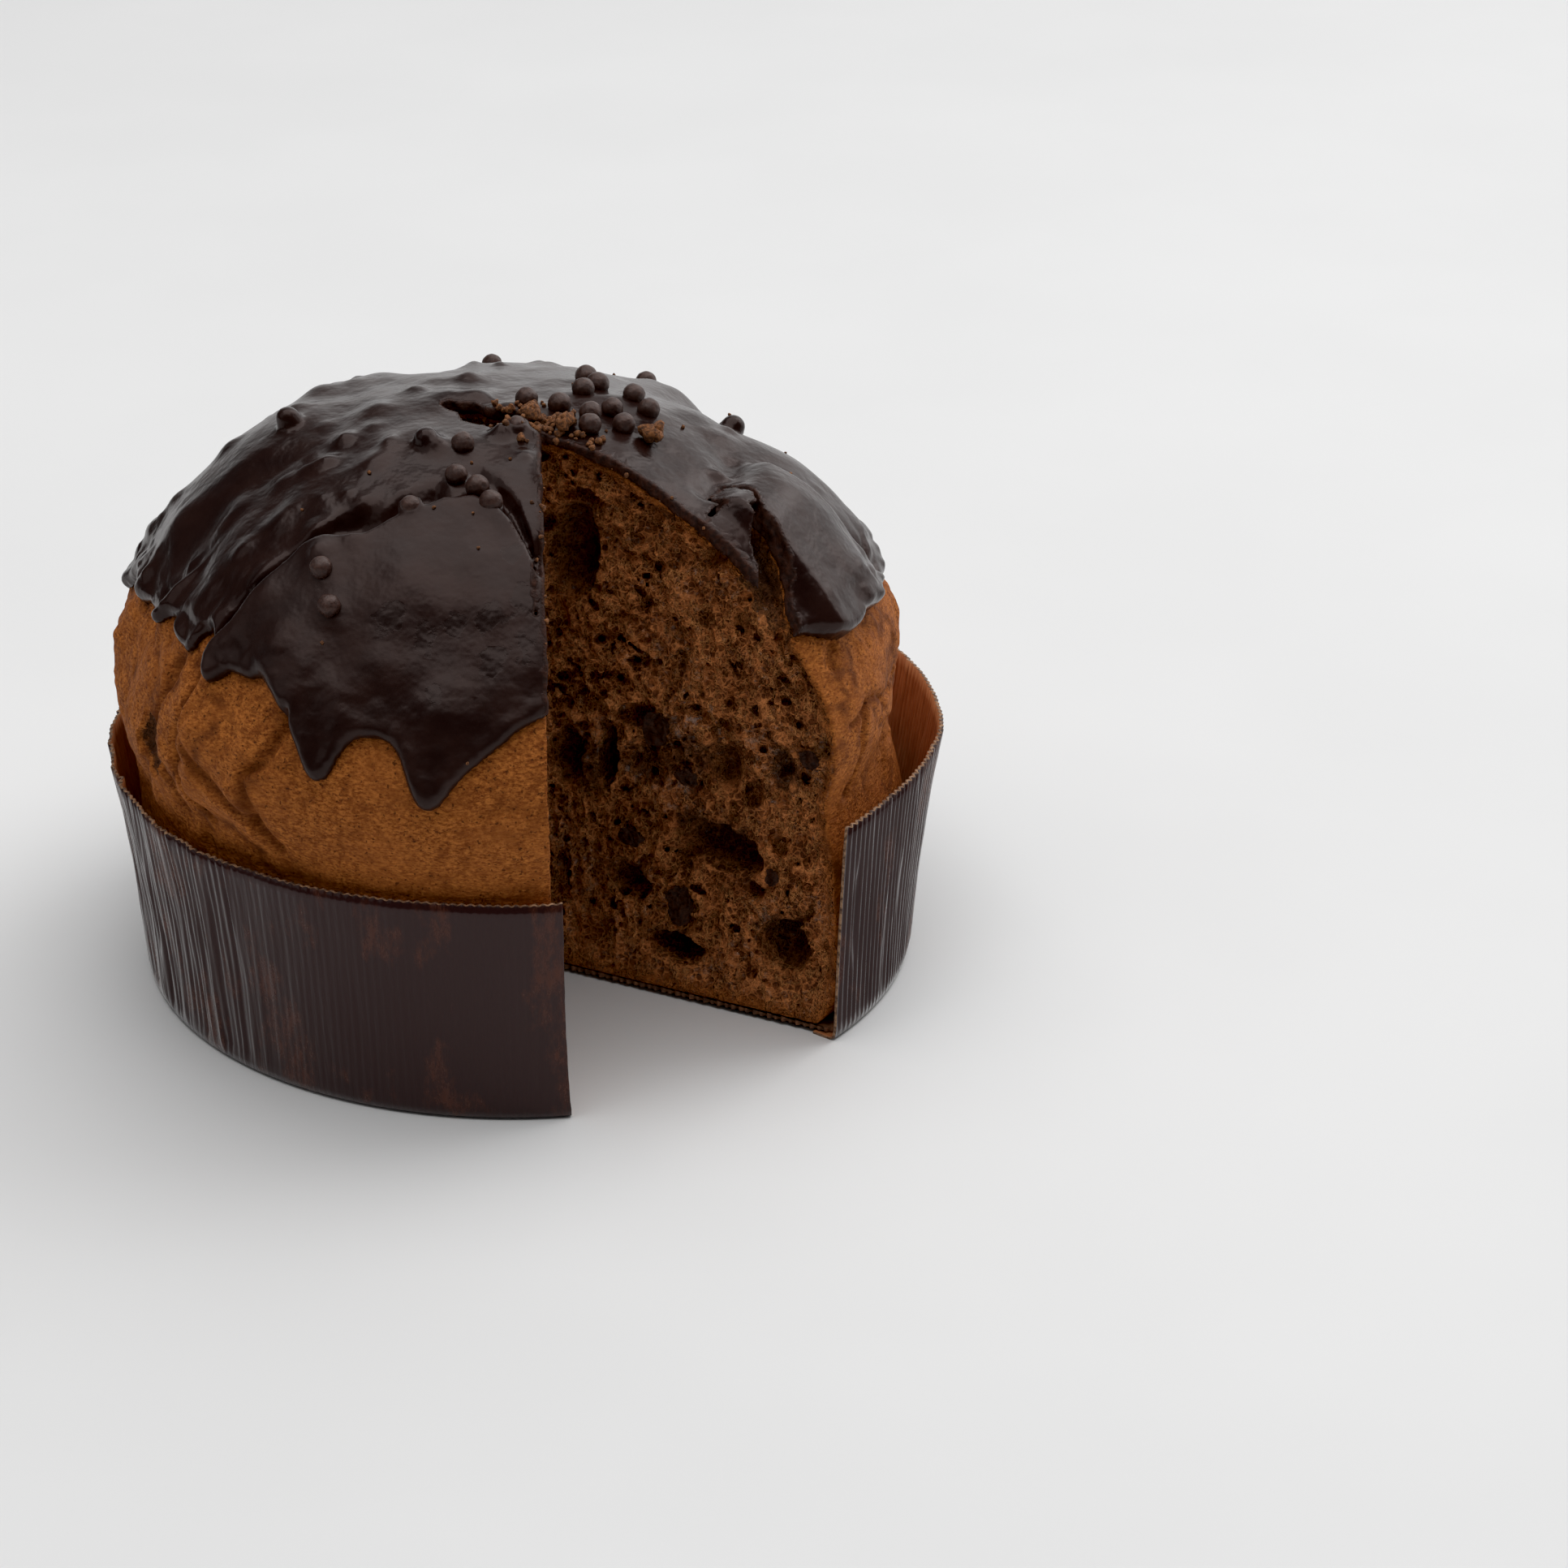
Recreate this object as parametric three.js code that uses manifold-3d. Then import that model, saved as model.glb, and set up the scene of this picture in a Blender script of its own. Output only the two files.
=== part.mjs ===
// A low panettone with one portion cut out: the baked loaf, its poured chocolate coating with
// crisp pearls, the chocolate chunks baked into the dough, a few loose crumbs, and the paper case.
// Millimetres, +Z up. Bearings are in degrees, counted from +X towards +Y, about the case's axis.
import * as THREE from "three";
import { mergeVertices } from "three/addons/utils/BufferGeometryUtils.js";
import Module from "manifold-3d";

const wasm = await Module();
wasm.setup();

// ---- driving dimensions ----
const CASE_RADIUS = 99; // outside of the paper wall, at the table
const CASE_HEIGHT = 60;
const PAPER = 0.8; // thickness of the corrugated paper
const GAP = 0.3; // clearance left between neighbouring solids
const FLANGE = 5; // how far the wall's foot is folded in under the base disc
const LOAF_BASE = 2 * PAPER + 2 * GAP; // the crumb stands on the base disc
const LOAF_TOP = 146;
const WAIST_RADIUS = 95; // loaf at the case's rim
const CASED_RADIUS = 97.2; // loaf low down, where it fills the case
const BULGE_RADIUS = 97; // loaf just above the rim
const BULGE_HEIGHT = 74;
const LEAN = new THREE.Vector2(-4, -5); // the risen dome sits off the case's axis
const LEAN_HEIGHTS = [28, 82]; // where the dome starts to lean, and leans in full
const GLAZE = 3; // thickness of the chocolate coating
const GLAZE_EDGE = 104; // usual height of the coating's lower edge
const PEARL_RADIUS = 2.8;
const AROUND = 72; // segments round the loaf
const LEAF_EDGE = 8; // how softly a lifted leaf of crust begins, in mm from the middle
const LEAF_SIDE = 7; // and in degrees at its sides

// The portion cut out: two knife cuts that meet a little in front of the axis.
const CUT_APEX = new THREE.Vector2(7, -22);
const CUT_BEARINGS = [-86.4, -26.5];
const CUT_REACH = 200; // far enough to leave the loaf on every side
const CUT_BELOW = 10; // and below the table
const PAPER_OVERHANG = 1.4; // degrees

// ---- helpers ----
const rad = THREE.MathUtils.degToRad;
const smooth = (x, from, to) => THREE.MathUtils.smoothstep(x, from, to);
const turn = (a, b) => Math.abs(((a - b + 540) % 360) - 180); // degrees between two bearings

// A closed geometry as a manifold-3d solid.
function solid(geometry) {
  const bare = geometry.index ? geometry.toNonIndexed() : geometry;
  const points = new THREE.BufferGeometry().setAttribute("position", bare.getAttribute("position"));
  const merged = mergeVertices(points, 1e-3);
  const kept = [];
  for (let i = 0; i < merged.index.count; i += 3) {
    const [a, b, c] = [0, 1, 2].map((k) => merged.index.getX(i + k));
    if (a !== b && b !== c && c !== a) kept.push(a, b, c);
  }
  return new wasm.Manifold(
    new wasm.Mesh({
      numProp: 3,
      vertProperties: merged.attributes.position.array,
      triVerts: new Uint32Array(kept),
    }),
  );
}

// A manifold-3d solid as a three.js geometry.
function geometryOf(shape) {
  const mesh = shape.getMesh();
  const geometry = new THREE.BufferGeometry();
  geometry.setAttribute("position", new THREE.BufferAttribute(mesh.vertProperties.slice(), 3));
  geometry.setIndex(new THREE.BufferAttribute(mesh.triVerts.slice(), 1));
  geometry.computeVertexNormals();
  return geometry;
}

function material(color, roughness, metalness = 0) {
  return new THREE.MeshStandardMaterial({ color, roughness, metalness });
}

const panettone = new THREE.Group();

function addPiece(name, geometry, look) {
  const mesh = new THREE.Mesh(geometry, look);
  mesh.name = name;
  panettone.add(mesh);
  return mesh;
}

// ---- the loaf's form ----
// Half section from the top of the dome to the table, as radius and height.
const section = new THREE.SplineCurve([
  new THREE.Vector2(0, LOAF_TOP),
  new THREE.Vector2(26, LOAF_TOP - 2),
  new THREE.Vector2(48, LOAF_TOP - 9),
  new THREE.Vector2(68, LOAF_TOP - 22),
  new THREE.Vector2(84, LOAF_TOP - 40),
  new THREE.Vector2(BULGE_RADIUS - 4.5, BULGE_HEIGHT + 18),
  new THREE.Vector2(BULGE_RADIUS - 1, BULGE_HEIGHT + 8),
  new THREE.Vector2(BULGE_RADIUS, BULGE_HEIGHT),
  new THREE.Vector2(BULGE_RADIUS - 1, BULGE_HEIGHT - 7),
  new THREE.Vector2(WAIST_RADIUS, CASE_HEIGHT),
  new THREE.Vector2(CASED_RADIUS, CASE_HEIGHT - 22),
  new THREE.Vector2(CASED_RADIUS, 12),
  new THREE.Vector2(CASED_RADIUS - 5, LOAF_BASE),
]);

// The crust opened along the baker's cross cut, which lifts four leaves of it. Between two of
// them the crust sank.
const LEAVES = [
  { bearing: -108, half: 26, inner: 50, rise: 2.6 },
  { bearing: -10, half: 22, inner: 62, rise: 4 },
  { bearing: 33, half: 14, inner: 52, rise: -2.5 },
  { bearing: 74, half: 30, inner: 58, rise: 2.4 },
  { bearing: 158, half: 32, inner: 44, rise: 3 },
];

// How far the crust stands out from the round form.
function swell(bearing, radius, height) {
  let out = 0;
  for (const leaf of LEAVES) {
    const aside = turn(bearing, leaf.bearing);
    const across = 1 - smooth(aside, leaf.half - LEAF_SIDE, leaf.half + LEAF_SIDE);
    out += leaf.rise * across * smooth(radius, leaf.inner - LEAF_EDGE, leaf.inner + LEAF_EDGE);
  }
  const broad = 0.9 * Math.sin(rad(5 * bearing + 40));
  const narrow = 0.6 * Math.sin(rad(9 * bearing - 25));
  const folds = (broad + narrow) * smooth(radius, 20, 60);
  return (out + folds) * smooth(height, CASE_HEIGHT + 4, CASE_HEIGHT + 32);
}

// A point of the crust at a share v of the half section, moved outwards by offset.
function crust(v, bearing, offset = 0) {
  const at = section.getPoint(v);
  const along = section.getTangent(v);
  const out = new THREE.Vector2(-along.y, along.x);
  if (v === 0) out.set(0, 1);
  const distance = offset + swell(bearing, at.x, at.y);
  const radius = Math.max(0, at.x + out.x * distance);
  const height = at.y + out.y * distance;
  const lean = smooth(height, ...LEAN_HEIGHTS);
  return new THREE.Vector3(
    radius * Math.cos(rad(bearing)) + LEAN.x * lean,
    radius * Math.sin(rad(bearing)) + LEAN.y * lean,
    height,
  );
}

// The share of the half section at which the crust comes down to a height.
function shareAtHeight(height) {
  let [low, high] = [0, 1];
  for (let i = 0; i < 24; i++) {
    const middle = (low + high) / 2;
    if (section.getPoint(middle).y > height) low = middle;
    else high = middle;
  }
  return low;
}

// A lathe whose rows and layers are then laid on the crust by place(row, layer, bearing).
function laidOnCrust(rows, place) {
  const lathe = new THREE.LatheGeometry(rows, AROUND);
  const position = lathe.getAttribute("position");
  for (let i = 0; i < position.count; i++) {
    const row = rows[i % rows.length];
    const bearing = (-360 * (Math.floor(i / rows.length) % AROUND)) / AROUND;
    const p = place(row.x, row.y, bearing);
    position.setXYZ(i, p.x, p.y, p.z);
  }
  return lathe;
}

// ---- the portion that is cut out ----
function knifeWedge([first, second]) {
  const far = (bearing) =>
    new THREE.Vector2(CUT_REACH, 0).rotateAround(new THREE.Vector2(), rad(bearing)).add(CUT_APEX);
  const outline = new THREE.Shape([CUT_APEX, far(first), far(second)]);
  const prism = new THREE.ExtrudeGeometry(outline, { depth: CUT_REACH, bevelEnabled: false });
  return solid(prism.translate(0, 0, -CUT_BELOW));
}
const wedge = knifeWedge(CUT_BEARINGS);
// The paper sprang a little past the crumb at both cuts.
const caseWedge = knifeWedge([CUT_BEARINGS[0] + PAPER_OVERHANG, CUT_BEARINGS[1] - PAPER_OVERHANG]);

// ---- chocolate chunks baked into the dough ----
// Each has a share along one of the two cuts from the apex, in mm, a height and a size.
const CHUNKS = [
  { cut: 1, along: 30, height: 73, size: 8 },
  { cut: 1, along: 38, height: 62, size: 5 },
  { cut: 1, along: 36, height: 26, size: 8 },
  { cut: 1, along: 22, height: 42, size: 6 },
  { cut: 1, along: 72, height: 74, size: 5 },
  { cut: 1, along: 62, height: 40, size: 4 },
  { cut: 0, along: 24, height: 96, size: 6 },
  { cut: 0, along: 48, height: 34, size: 7 },
  { cut: 0, along: 60, height: 70, size: 5 },
  { cut: 0, along: 30, height: 54, size: 4 },
];

// A chunk is a broken piece, longer than it is thick, and each lies turned its own way.
const CHUNK_FORM = new THREE.Vector3(1.25, 0.85, 1);

function chunkShape({ cut, along, height, size }, grow) {
  const bearing = rad(CUT_BEARINGS[cut]);
  const geometry = new THREE.DodecahedronGeometry(size / 2 + grow);
  geometry.scale(...CHUNK_FORM.toArray()).rotateZ(along).rotateX(height);
  geometry.translate(
    CUT_APEX.x + along * Math.cos(bearing),
    CUT_APEX.y + along * Math.sin(bearing),
    height,
  );
  return solid(geometry);
}

// ---- loaf ----
const LOAF_ROWS = 20;
const loafRows = [];
for (let i = 0; i <= LOAF_ROWS; i++) loafRows.push(new THREE.Vector2(i / LOAF_ROWS, 1));
loafRows.push(new THREE.Vector2(0, 0));

// The whole loaf before it was cut, grown by an offset.
function wholeLoaf(offset) {
  const foot = new THREE.Vector3(0, 0, LOAF_BASE);
  const place = (share, layer, bearing) => (layer === 1 ? crust(share, bearing, offset) : foot);
  return solid(laidOnCrust(loafRows, place));
}

let loaf = wholeLoaf(0).subtract(wedge);
for (const chunk of CHUNKS) loaf = loaf.subtract(chunkShape(chunk, GAP));

// ---- chocolate coating ----
// Runs of chocolate that hang below the coating's usual edge: bearing, drop and half width.
const DRIPS = [
  { bearing: -97, drop: 19, half: 5 },
  { bearing: -112, drop: 15, half: 4 },
  { bearing: -84, drop: 5, half: 9 },
  { bearing: -136, drop: 6, half: 4 },
  { bearing: -159, drop: 8, half: 4 },
  { bearing: -172, drop: 6, half: 4 },
  { bearing: 173, drop: 12, half: 5 },
  { bearing: 150, drop: 7, half: 6 },
  { bearing: 131, drop: 16, half: 5 },
  { bearing: 108, drop: 9, half: 7 },
  { bearing: 86, drop: 18, half: 5 },
  { bearing: 66, drop: 8, half: 6 },
  { bearing: 45, drop: 15, half: 6 },
  { bearing: 21, drop: 8, half: 6 },
  { bearing: -2, drop: 5, half: 6 },
  { bearing: -19, drop: 4, half: 6 },
];

function glazeEdge(bearing) {
  let height = GLAZE_EDGE;
  for (const drip of DRIPS)
    height -= drip.drop * Math.exp(-((turn(bearing, drip.bearing) / drip.half) ** 2));
  return shareAtHeight(height);
}

const GLAZE_ROWS = 13;
const GLAZE_SUNK = 1; // how deep the coating's underside starts inside the loaf
const EDGE_THINNING = 0.5; // share of the thickness that the coating loses at its lower edge
const glazeRows = [];
for (let i = 0; i <= GLAZE_ROWS; i++) glazeRows.push(new THREE.Vector2(i / GLAZE_ROWS, 1));
for (let i = GLAZE_ROWS; i >= 0; i--) glazeRows.push(new THREE.Vector2(i / GLAZE_ROWS, 0));

// The coating thins at its edge, as a set drip does. Its underside starts inside the loaf, whose
// own surface then cuts it, so that the two nest.
function glazePoint(share, layer, bearing) {
  const thickness = GLAZE * (1 - EDGE_THINNING * share ** 8);
  const offset = layer === 1 ? GAP + thickness : -GLAZE_SUNK;
  return crust(share * glazeEdge(bearing), bearing, offset);
}

let glaze = solid(laidOnCrust(glazeRows, glazePoint)).subtract(wholeLoaf(GAP)).subtract(wedge);

// ---- crisp pearls, half sunk in the coating ----
// Bearing and distance from the dome's middle; the pearls fell mostly round the top.
const PEARLS = [
  [43, 27.5], [29.5, 26.5], [18.5, 21.1], [-14.5, 15.4], [-12, 7], [-18.5, 23.5], [-32, 26.3],
  [-6, 27.3], [-19, 31.8], [13, 32.5], [2, 35.5], [-73, 19], [-104.5, 26.8], [-101.5, 38],
  [-93.5, 41], [-89, 46.5], [-121.5, 67.6], [-117, 73.1], [-124, 27.5], [-110, 49.9], [21, 59.3],
  [177, 48.9], [62, 68], [78, 76], [95, 66], [106, 80], [118, 70], [47, 80],
];

// The share of the half section at a distance from the dome's middle.
function shareAtRadius(radius) {
  let [low, high] = [0, shareAtHeight(BULGE_HEIGHT)];
  for (let i = 0; i < 24; i++) {
    const middle = (low + high) / 2;
    if (section.getPoint(middle).x < radius) low = middle;
    else high = middle;
  }
  return low;
}

const PEARL_LIFT = 0.45 * PEARL_RADIUS; // of a pearl's centre above the coating
const chocolate = material(0x2a1914, 0.28);
const pearlChocolate = material(0x3a241b, 0.42);
PEARLS.forEach(([bearing, radius], i) => {
  const centre = crust(shareAtRadius(radius), bearing, GAP + GLAZE + PEARL_LIFT);
  const pocket = new THREE.IcosahedronGeometry(PEARL_RADIUS + GAP, 1);
  glaze = glaze.subtract(solid(pocket.translate(centre.x, centre.y, centre.z)));
  const pearl = addPiece(
    "pearl_" + String(i + 1).padStart(2, "0"),
    new THREE.IcosahedronGeometry(PEARL_RADIUS, 1),
    pearlChocolate,
  );
  pearl.position.copy(centre);
});

// ---- loose crumbs that fell on the coating as it was cut ----
// Bearing and distance from the dome's middle, and the crumb's radius.
const CRUMBS = [
  [-19, 38.5, 2.4],
  [-54, 14, 2.4],
  [-40, 21, 2],
];
const crumbLook = material(0x8a4f22, 0.9);
CRUMBS.forEach(([bearing, radius, size], i) => {
  const lift = GAP + GLAZE + size + 2 * GAP;
  const crumb = addPiece("crumb_" + (i + 1), new THREE.DodecahedronGeometry(size), crumbLook);
  crumb.position.copy(crust(shareAtRadius(radius), bearing, lift));
});

// ---- paper case ----
// The wall springs outwards at its rim where the loaf no longer fills it: by the first flare
// beside the two cuts, and by the second as well further round.
const FLARE = 3;
const FURTHER_FLARE = 3.6;

function flare(bearing, height) {
  const away = smooth(turn(bearing, -84), 10, 75) * smooth(turn(bearing, -38), 4, 40);
  const waver = 0.8 * Math.sin(rad(3 * bearing + 60));
  return (FLARE + (FURTHER_FLARE + waver) * away) * (height / CASE_HEIGHT) ** 1.4;
}

const inside = CASE_RADIUS - PAPER;
const wallSection = [
  [CASE_RADIUS, 0], [CASE_RADIUS - FLANGE, 0], [CASE_RADIUS - FLANGE, PAPER], [inside, PAPER],
  [inside, CASE_HEIGHT / 3], [inside, (2 * CASE_HEIGHT) / 3], [inside, CASE_HEIGHT],
  [CASE_RADIUS, CASE_HEIGHT], [CASE_RADIUS, (2 * CASE_HEIGHT) / 3],
  [CASE_RADIUS, CASE_HEIGHT / 3], [CASE_RADIUS, 0],
].map(([x, y]) => new THREE.Vector2(x, y));

function wallPoint(radius, height, bearing) {
  const reach = radius + flare(bearing, height);
  return new THREE.Vector3(reach * Math.cos(rad(bearing)), reach * Math.sin(rad(bearing)), height);
}

const wall = solid(laidOnCrust(wallSection, wallPoint)).subtract(caseWedge);
const disc = new THREE.CylinderGeometry(inside - GAP, inside - GAP, PAPER, AROUND);
disc.rotateX(Math.PI / 2).translate(0, 0, PAPER + GAP + PAPER / 2);
const base = solid(disc).subtract(caseWedge);

addPiece("loaf", geometryOf(loaf), material(0xa0602c, 0.85));
addPiece("chocolate_coating", geometryOf(glaze), chocolate);
addPiece("case_wall", geometryOf(wall), material(0x2e1a15, 0.5));
addPiece("case_base", geometryOf(base), material(0x6b3a1c, 0.7));
const chunkLook = material(0x24130d, 0.5);
CHUNKS.forEach((chunk, i) => {
  const shape = chunkShape(chunk, 0).subtract(wedge);
  addPiece("chocolate_chunk_" + String(i + 1).padStart(2, "0"), geometryOf(shape), chunkLook);
});

// The origin lies on the table, under the middle of the whole.
const middle = new THREE.Box3().setFromObject(panettone).getCenter(new THREE.Vector3());
panettone.position.set(-middle.x, -middle.y, 0);

export default panettone;
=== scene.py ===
import math

import bmesh
import bpy
import numpy as np
import openvdb
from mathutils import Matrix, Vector


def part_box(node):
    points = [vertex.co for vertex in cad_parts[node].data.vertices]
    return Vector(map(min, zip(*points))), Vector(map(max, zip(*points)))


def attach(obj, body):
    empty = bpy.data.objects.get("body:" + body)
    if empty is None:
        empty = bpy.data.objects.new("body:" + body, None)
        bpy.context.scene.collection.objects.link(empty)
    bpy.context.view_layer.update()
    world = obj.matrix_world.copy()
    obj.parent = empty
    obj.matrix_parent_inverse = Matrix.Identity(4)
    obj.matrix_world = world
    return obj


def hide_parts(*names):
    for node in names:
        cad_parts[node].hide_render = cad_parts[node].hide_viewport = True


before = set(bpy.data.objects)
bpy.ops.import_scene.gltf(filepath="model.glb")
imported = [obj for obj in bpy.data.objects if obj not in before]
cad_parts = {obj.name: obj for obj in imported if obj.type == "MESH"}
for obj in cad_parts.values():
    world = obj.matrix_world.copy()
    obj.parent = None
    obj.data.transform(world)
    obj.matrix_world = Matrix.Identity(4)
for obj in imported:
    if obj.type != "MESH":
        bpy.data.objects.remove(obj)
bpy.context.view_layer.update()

# ---- table, light and camera ----
# The panettone stands on a pale sweep in a dim studio: one large soft light hangs over it, a
# second behind it to the right, a weak one to the left, and a pale wall behind gives the
# chocolate its sheen.
MM = 0.001  # all is in millimetres until a mesh, lamp or camera is made
base_low, base_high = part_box("case_base")
AXIS = np.array([base_low.x + base_high.x, base_low.y + base_high.y, 0]) / 2 / MM  # of the paper case


def in_metres(points):
    """Points about the case's axis, in millimetres, as points of the frame."""
    return (np.asarray(points, float) + AXIS) * MM


scene = bpy.context.scene
scene.view_settings.view_transform = "Standard"
scene.view_settings.use_curve_mapping = True
scene.view_settings.curve_mapping.black_level = (0.002, 0.0022, 0.0022)
scene.view_settings.curve_mapping.update()


def placed(name, data):
    """A new object of a mesh, lamp or camera, in the scene."""
    thing = bpy.data.objects.new(name, data)
    scene.collection.objects.link(thing)
    return thing


CAMERA_PLACE = (66, -1029, 544)
CAMERA_DOWN = 26  # degrees
camera = placed("camera", bpy.data.cameras.new("camera"))
camera.location = in_metres(CAMERA_PLACE)
camera.rotation_euler = (math.radians(90 - CAMERA_DOWN), 0, 0)
camera.data.sensor_width = 36
camera.data.lens = 102.5
scene.camera = camera

# Each light: its place, where it aims, its width and height, and its power in watts.
LIGHTS = {
    "soft_light": ((60, 40, 2600), (60, 39, 0), (3200, 3200), 53),
    "side_light": ((1150, 720, 1250), (30, -20, 80), (1300, 1200), 7),
    "left_light": ((-1500, -500, 1250), (-60, 0, 40), (1500, 1300), 2.5),
}
for name, (place, aim, (wide, high), power) in LIGHTS.items():
    lamp = placed(name, bpy.data.lights.new(name, "AREA"))
    lamp.data.shape = "RECTANGLE"
    lamp.data.size, lamp.data.size_y = wide * MM, high * MM
    lamp.data.energy = power
    lamp.location = in_metres(place)
    towards = Vector(in_metres(aim)) - lamp.location
    lamp.rotation_euler = towards.to_track_quat("-Z", "Y").to_euler()

TABLE_HALF = 4000
table_mesh = bpy.data.meshes.new("table")
corners = [(-1, -1, 0), (1, -1, 0), (1, 1, 0), (-1, 1, 0)]
table_mesh.from_pydata([Vector(c) * TABLE_HALF * MM for c in corners], [], [(0, 1, 2, 3)])
table = placed("table", table_mesh)


class Value:
    """A socket of a node tree, on which arithmetic is written as plain expressions."""

    def __init__(self, graph, socket):
        self.graph = graph
        self.socket = socket

    def sum_up(self, operation, *operands):
        values = dict(enumerate(operands))
        return self.graph.node("ShaderNodeMath", {"operation": operation}, values)

    def __add__(self, other):
        return self.sum_up("ADD", self, other)

    def __sub__(self, other):
        return self.sum_up("SUBTRACT", self, other)

    def __rsub__(self, other):
        return self.sum_up("SUBTRACT", other, self)

    def __mul__(self, other):
        return self.sum_up("MULTIPLY", self, other)

    def __rtruediv__(self, other):
        return self.sum_up("DIVIDE", other, self)

    def __pow__(self, other):
        return self.sum_up("POWER", self, other)

    def unsigned(self):
        return self.sum_up("ABSOLUTE", self)

    def least(self, other):
        return self.sum_up("MINIMUM", self, other)

    def most(self, other):
        return self.sum_up("MAXIMUM", self, other)

    def sine(self):
        return self.sum_up("SINE", self)

    def cosine(self):
        return self.sum_up("COSINE", self)

    __radd__ = __add__
    __rmul__ = __mul__

    def rise(self, low, high):
        """0 where this is under low, 1 where it is over high, and smooth between."""
        settings = {"interpolation_type": "SMOOTHSTEP"}
        values = {"Value": self, "From Min": low, "From Max": high}
        return self.graph.node("ShaderNodeMapRange", settings, values)


class Graph:
    """A node tree that is written as expressions."""

    def node(self, kind, settings=None, values=None, output=0):
        """Any node: its settings first, then the values or links of its sockets."""
        made = self.tree.nodes.new(kind)
        for name, value in (settings or {}).items():
            setattr(made, name, value)
        for key, value in (values or {}).items():
            if isinstance(value, Value):
                self.tree.links.new(value.socket, made.inputs[key])
            else:
                made.inputs[key].default_value = value
        return Value(self, made.outputs[output])

    def scaled(self, vector, by):
        return self.node("ShaderNodeVectorMath", {"operation": "SCALE"}, {0: vector, "Scale": by})

    def moved(self, vector, by):
        return self.node("ShaderNodeVectorMath", {"operation": "ADD"}, {0: vector, 1: by})


class Finish(Graph):
    """A procedural material. Its constants are set on the shader; feed() links what varies."""

    def __init__(self, name, **constants):
        self.material = bpy.data.materials.new(name)
        self.material.use_nodes = True
        self.tree = self.material.node_tree
        self.shader = self.tree.nodes["Principled BSDF"]
        for socket, value in constants.items():
            self.shader.inputs[socket.replace("_", " ")].default_value = value

    def feed(self, **sockets):
        for socket, value in sockets.items():
            self.tree.links.new(value.socket, self.shader.inputs[socket.replace("_", " ")])

    def attribute(self, name):
        return self.node("ShaderNodeAttribute", {"attribute_name": name}, output=2)

    def grain(self, size, detail=3.0, stretch=(1, 1, 1), shift=0.0, rough=0.55):
        """Noise from 0 to 1 with lumps of a size in millimetres, longer where stretch is over 1."""
        place = self.node("ShaderNodeTexCoord", output=3)
        scale = [1 / (size * s * MM) for s in stretch]
        values = {"Vector": place, "Location": (shift, shift, shift), "Scale": scale}
        place = self.node("ShaderNodeMapping", None, values)
        values = {"Vector": place, "Scale": 1.0, "Detail": detail, "Roughness": rough}
        return self.node("ShaderNodeTexNoise", None, values)

    def cells(self, size):
        """0 on the walls of a foam of cells of a size in millimetres, rising inside them."""
        place = self.node("ShaderNodeTexCoord", output=3)
        values = {"Vector": place, "Scale": 1 / (size * MM)}
        bend = self.node("ShaderNodeTexNoise", None, values, output=1)
        values = {"Vector": self.moved(place, self.scaled(bend, size * MM)), "Scale": 1 / (size * MM)}
        return self.node("ShaderNodeTexVoronoi", {"feature": "DISTANCE_TO_EDGE"}, values)

    def mix(self, share, first, second):
        """The first colour where share is 0, the second where it is 1."""
        values = {0: share, 6: first, 7: second}
        return self.node("ShaderNodeMix", {"data_type": "RGBA"}, values, output=2)

    def bump(self, height, distance, under=None):
        """A relief of a height from 0 to 1 times a distance in millimetres."""
        values = {"Height": height, "Distance": distance * MM}
        if under:
            values["Normal"] = under
        return self.node("ShaderNodeBump", None, values)


# The room: a pale wall behind and to the right, a grey ceiling, and darker towards the front.
world = bpy.data.worlds.new("studio")
world.use_nodes = True
scene.world = world
room = Graph()
room.tree = world.node_tree
look = room.node("ShaderNodeTexCoord")
right, back, up = (room.node("ShaderNodeSeparateXYZ", None, {0: look}, output=k) for k in range(3))
glow = up.rise(0.55, 1.0) * 0.2 + (back * 0.85 + right * 0.55).rise(0.22, 0.97) * 1.1 + 0.07
room.tree.links.new(glow.socket, world.node_tree.nodes["Background"].inputs["Color"])

paper_sweep = Finish("pale_table", Roughness=0.75, Specular_IOR_Level=0.2)
blotches = paper_sweep.grain(160).rise(0.3, 0.7)
paper_sweep.feed(
    Base_Color=paper_sweep.mix(blotches, (0.80, 0.80, 0.80, 1), (0.82, 0.82, 0.82, 1))
)
table_mesh.materials.append(paper_sweep.material)

# ---- loaf ----
# One baked piece: sweet dark dough with a thin golden-brown crust that opened in leaves along
# the baker's cross cut, and, at the two knife cuts, a torn crumb full of uneven bubbles. Its
# form is a lathe by bearing and by reach down from the top; its crumb is carved in a field.
CASE_HEIGHT = 60
LOAF_TOP = 146
BULGE_RADIUS, BULGE_HEIGHT = 97, 74
LEAN = (-4, -5)  # the risen dome sits off the case's axis
LEAN_HEIGHTS = (28, 82)
APEX = np.array([7.0, -22.0])  # where the two knife cuts meet
CUT_BEARINGS = (-86.4, -26.5)
VOXEL = 0.65
CARVED = 13  # how deep the crumb is worked behind a cut
SECTION = [
    (0, LOAF_TOP), (26, LOAF_TOP - 2), (48, LOAF_TOP - 9), (68, LOAF_TOP - 22), (84, LOAF_TOP - 40),
    (92.5, BULGE_HEIGHT + 18), (96, BULGE_HEIGHT + 8), (BULGE_RADIUS, BULGE_HEIGHT),
    (96, BULGE_HEIGHT - 7), (95, CASE_HEIGHT), (97.2, CASE_HEIGHT - 22), (97.2, 12), (92.2, 2.2),
]  # fmt: skip
# Leaves of crust: bearing, half width, how far from the dome's middle they begin, and their rise.
LEAVES = [(-10, 22, 62, 4), (33, 14, 52, -2.5), (74, 30, 58, 2.4), (158, 32, 44, 3)]
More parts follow.
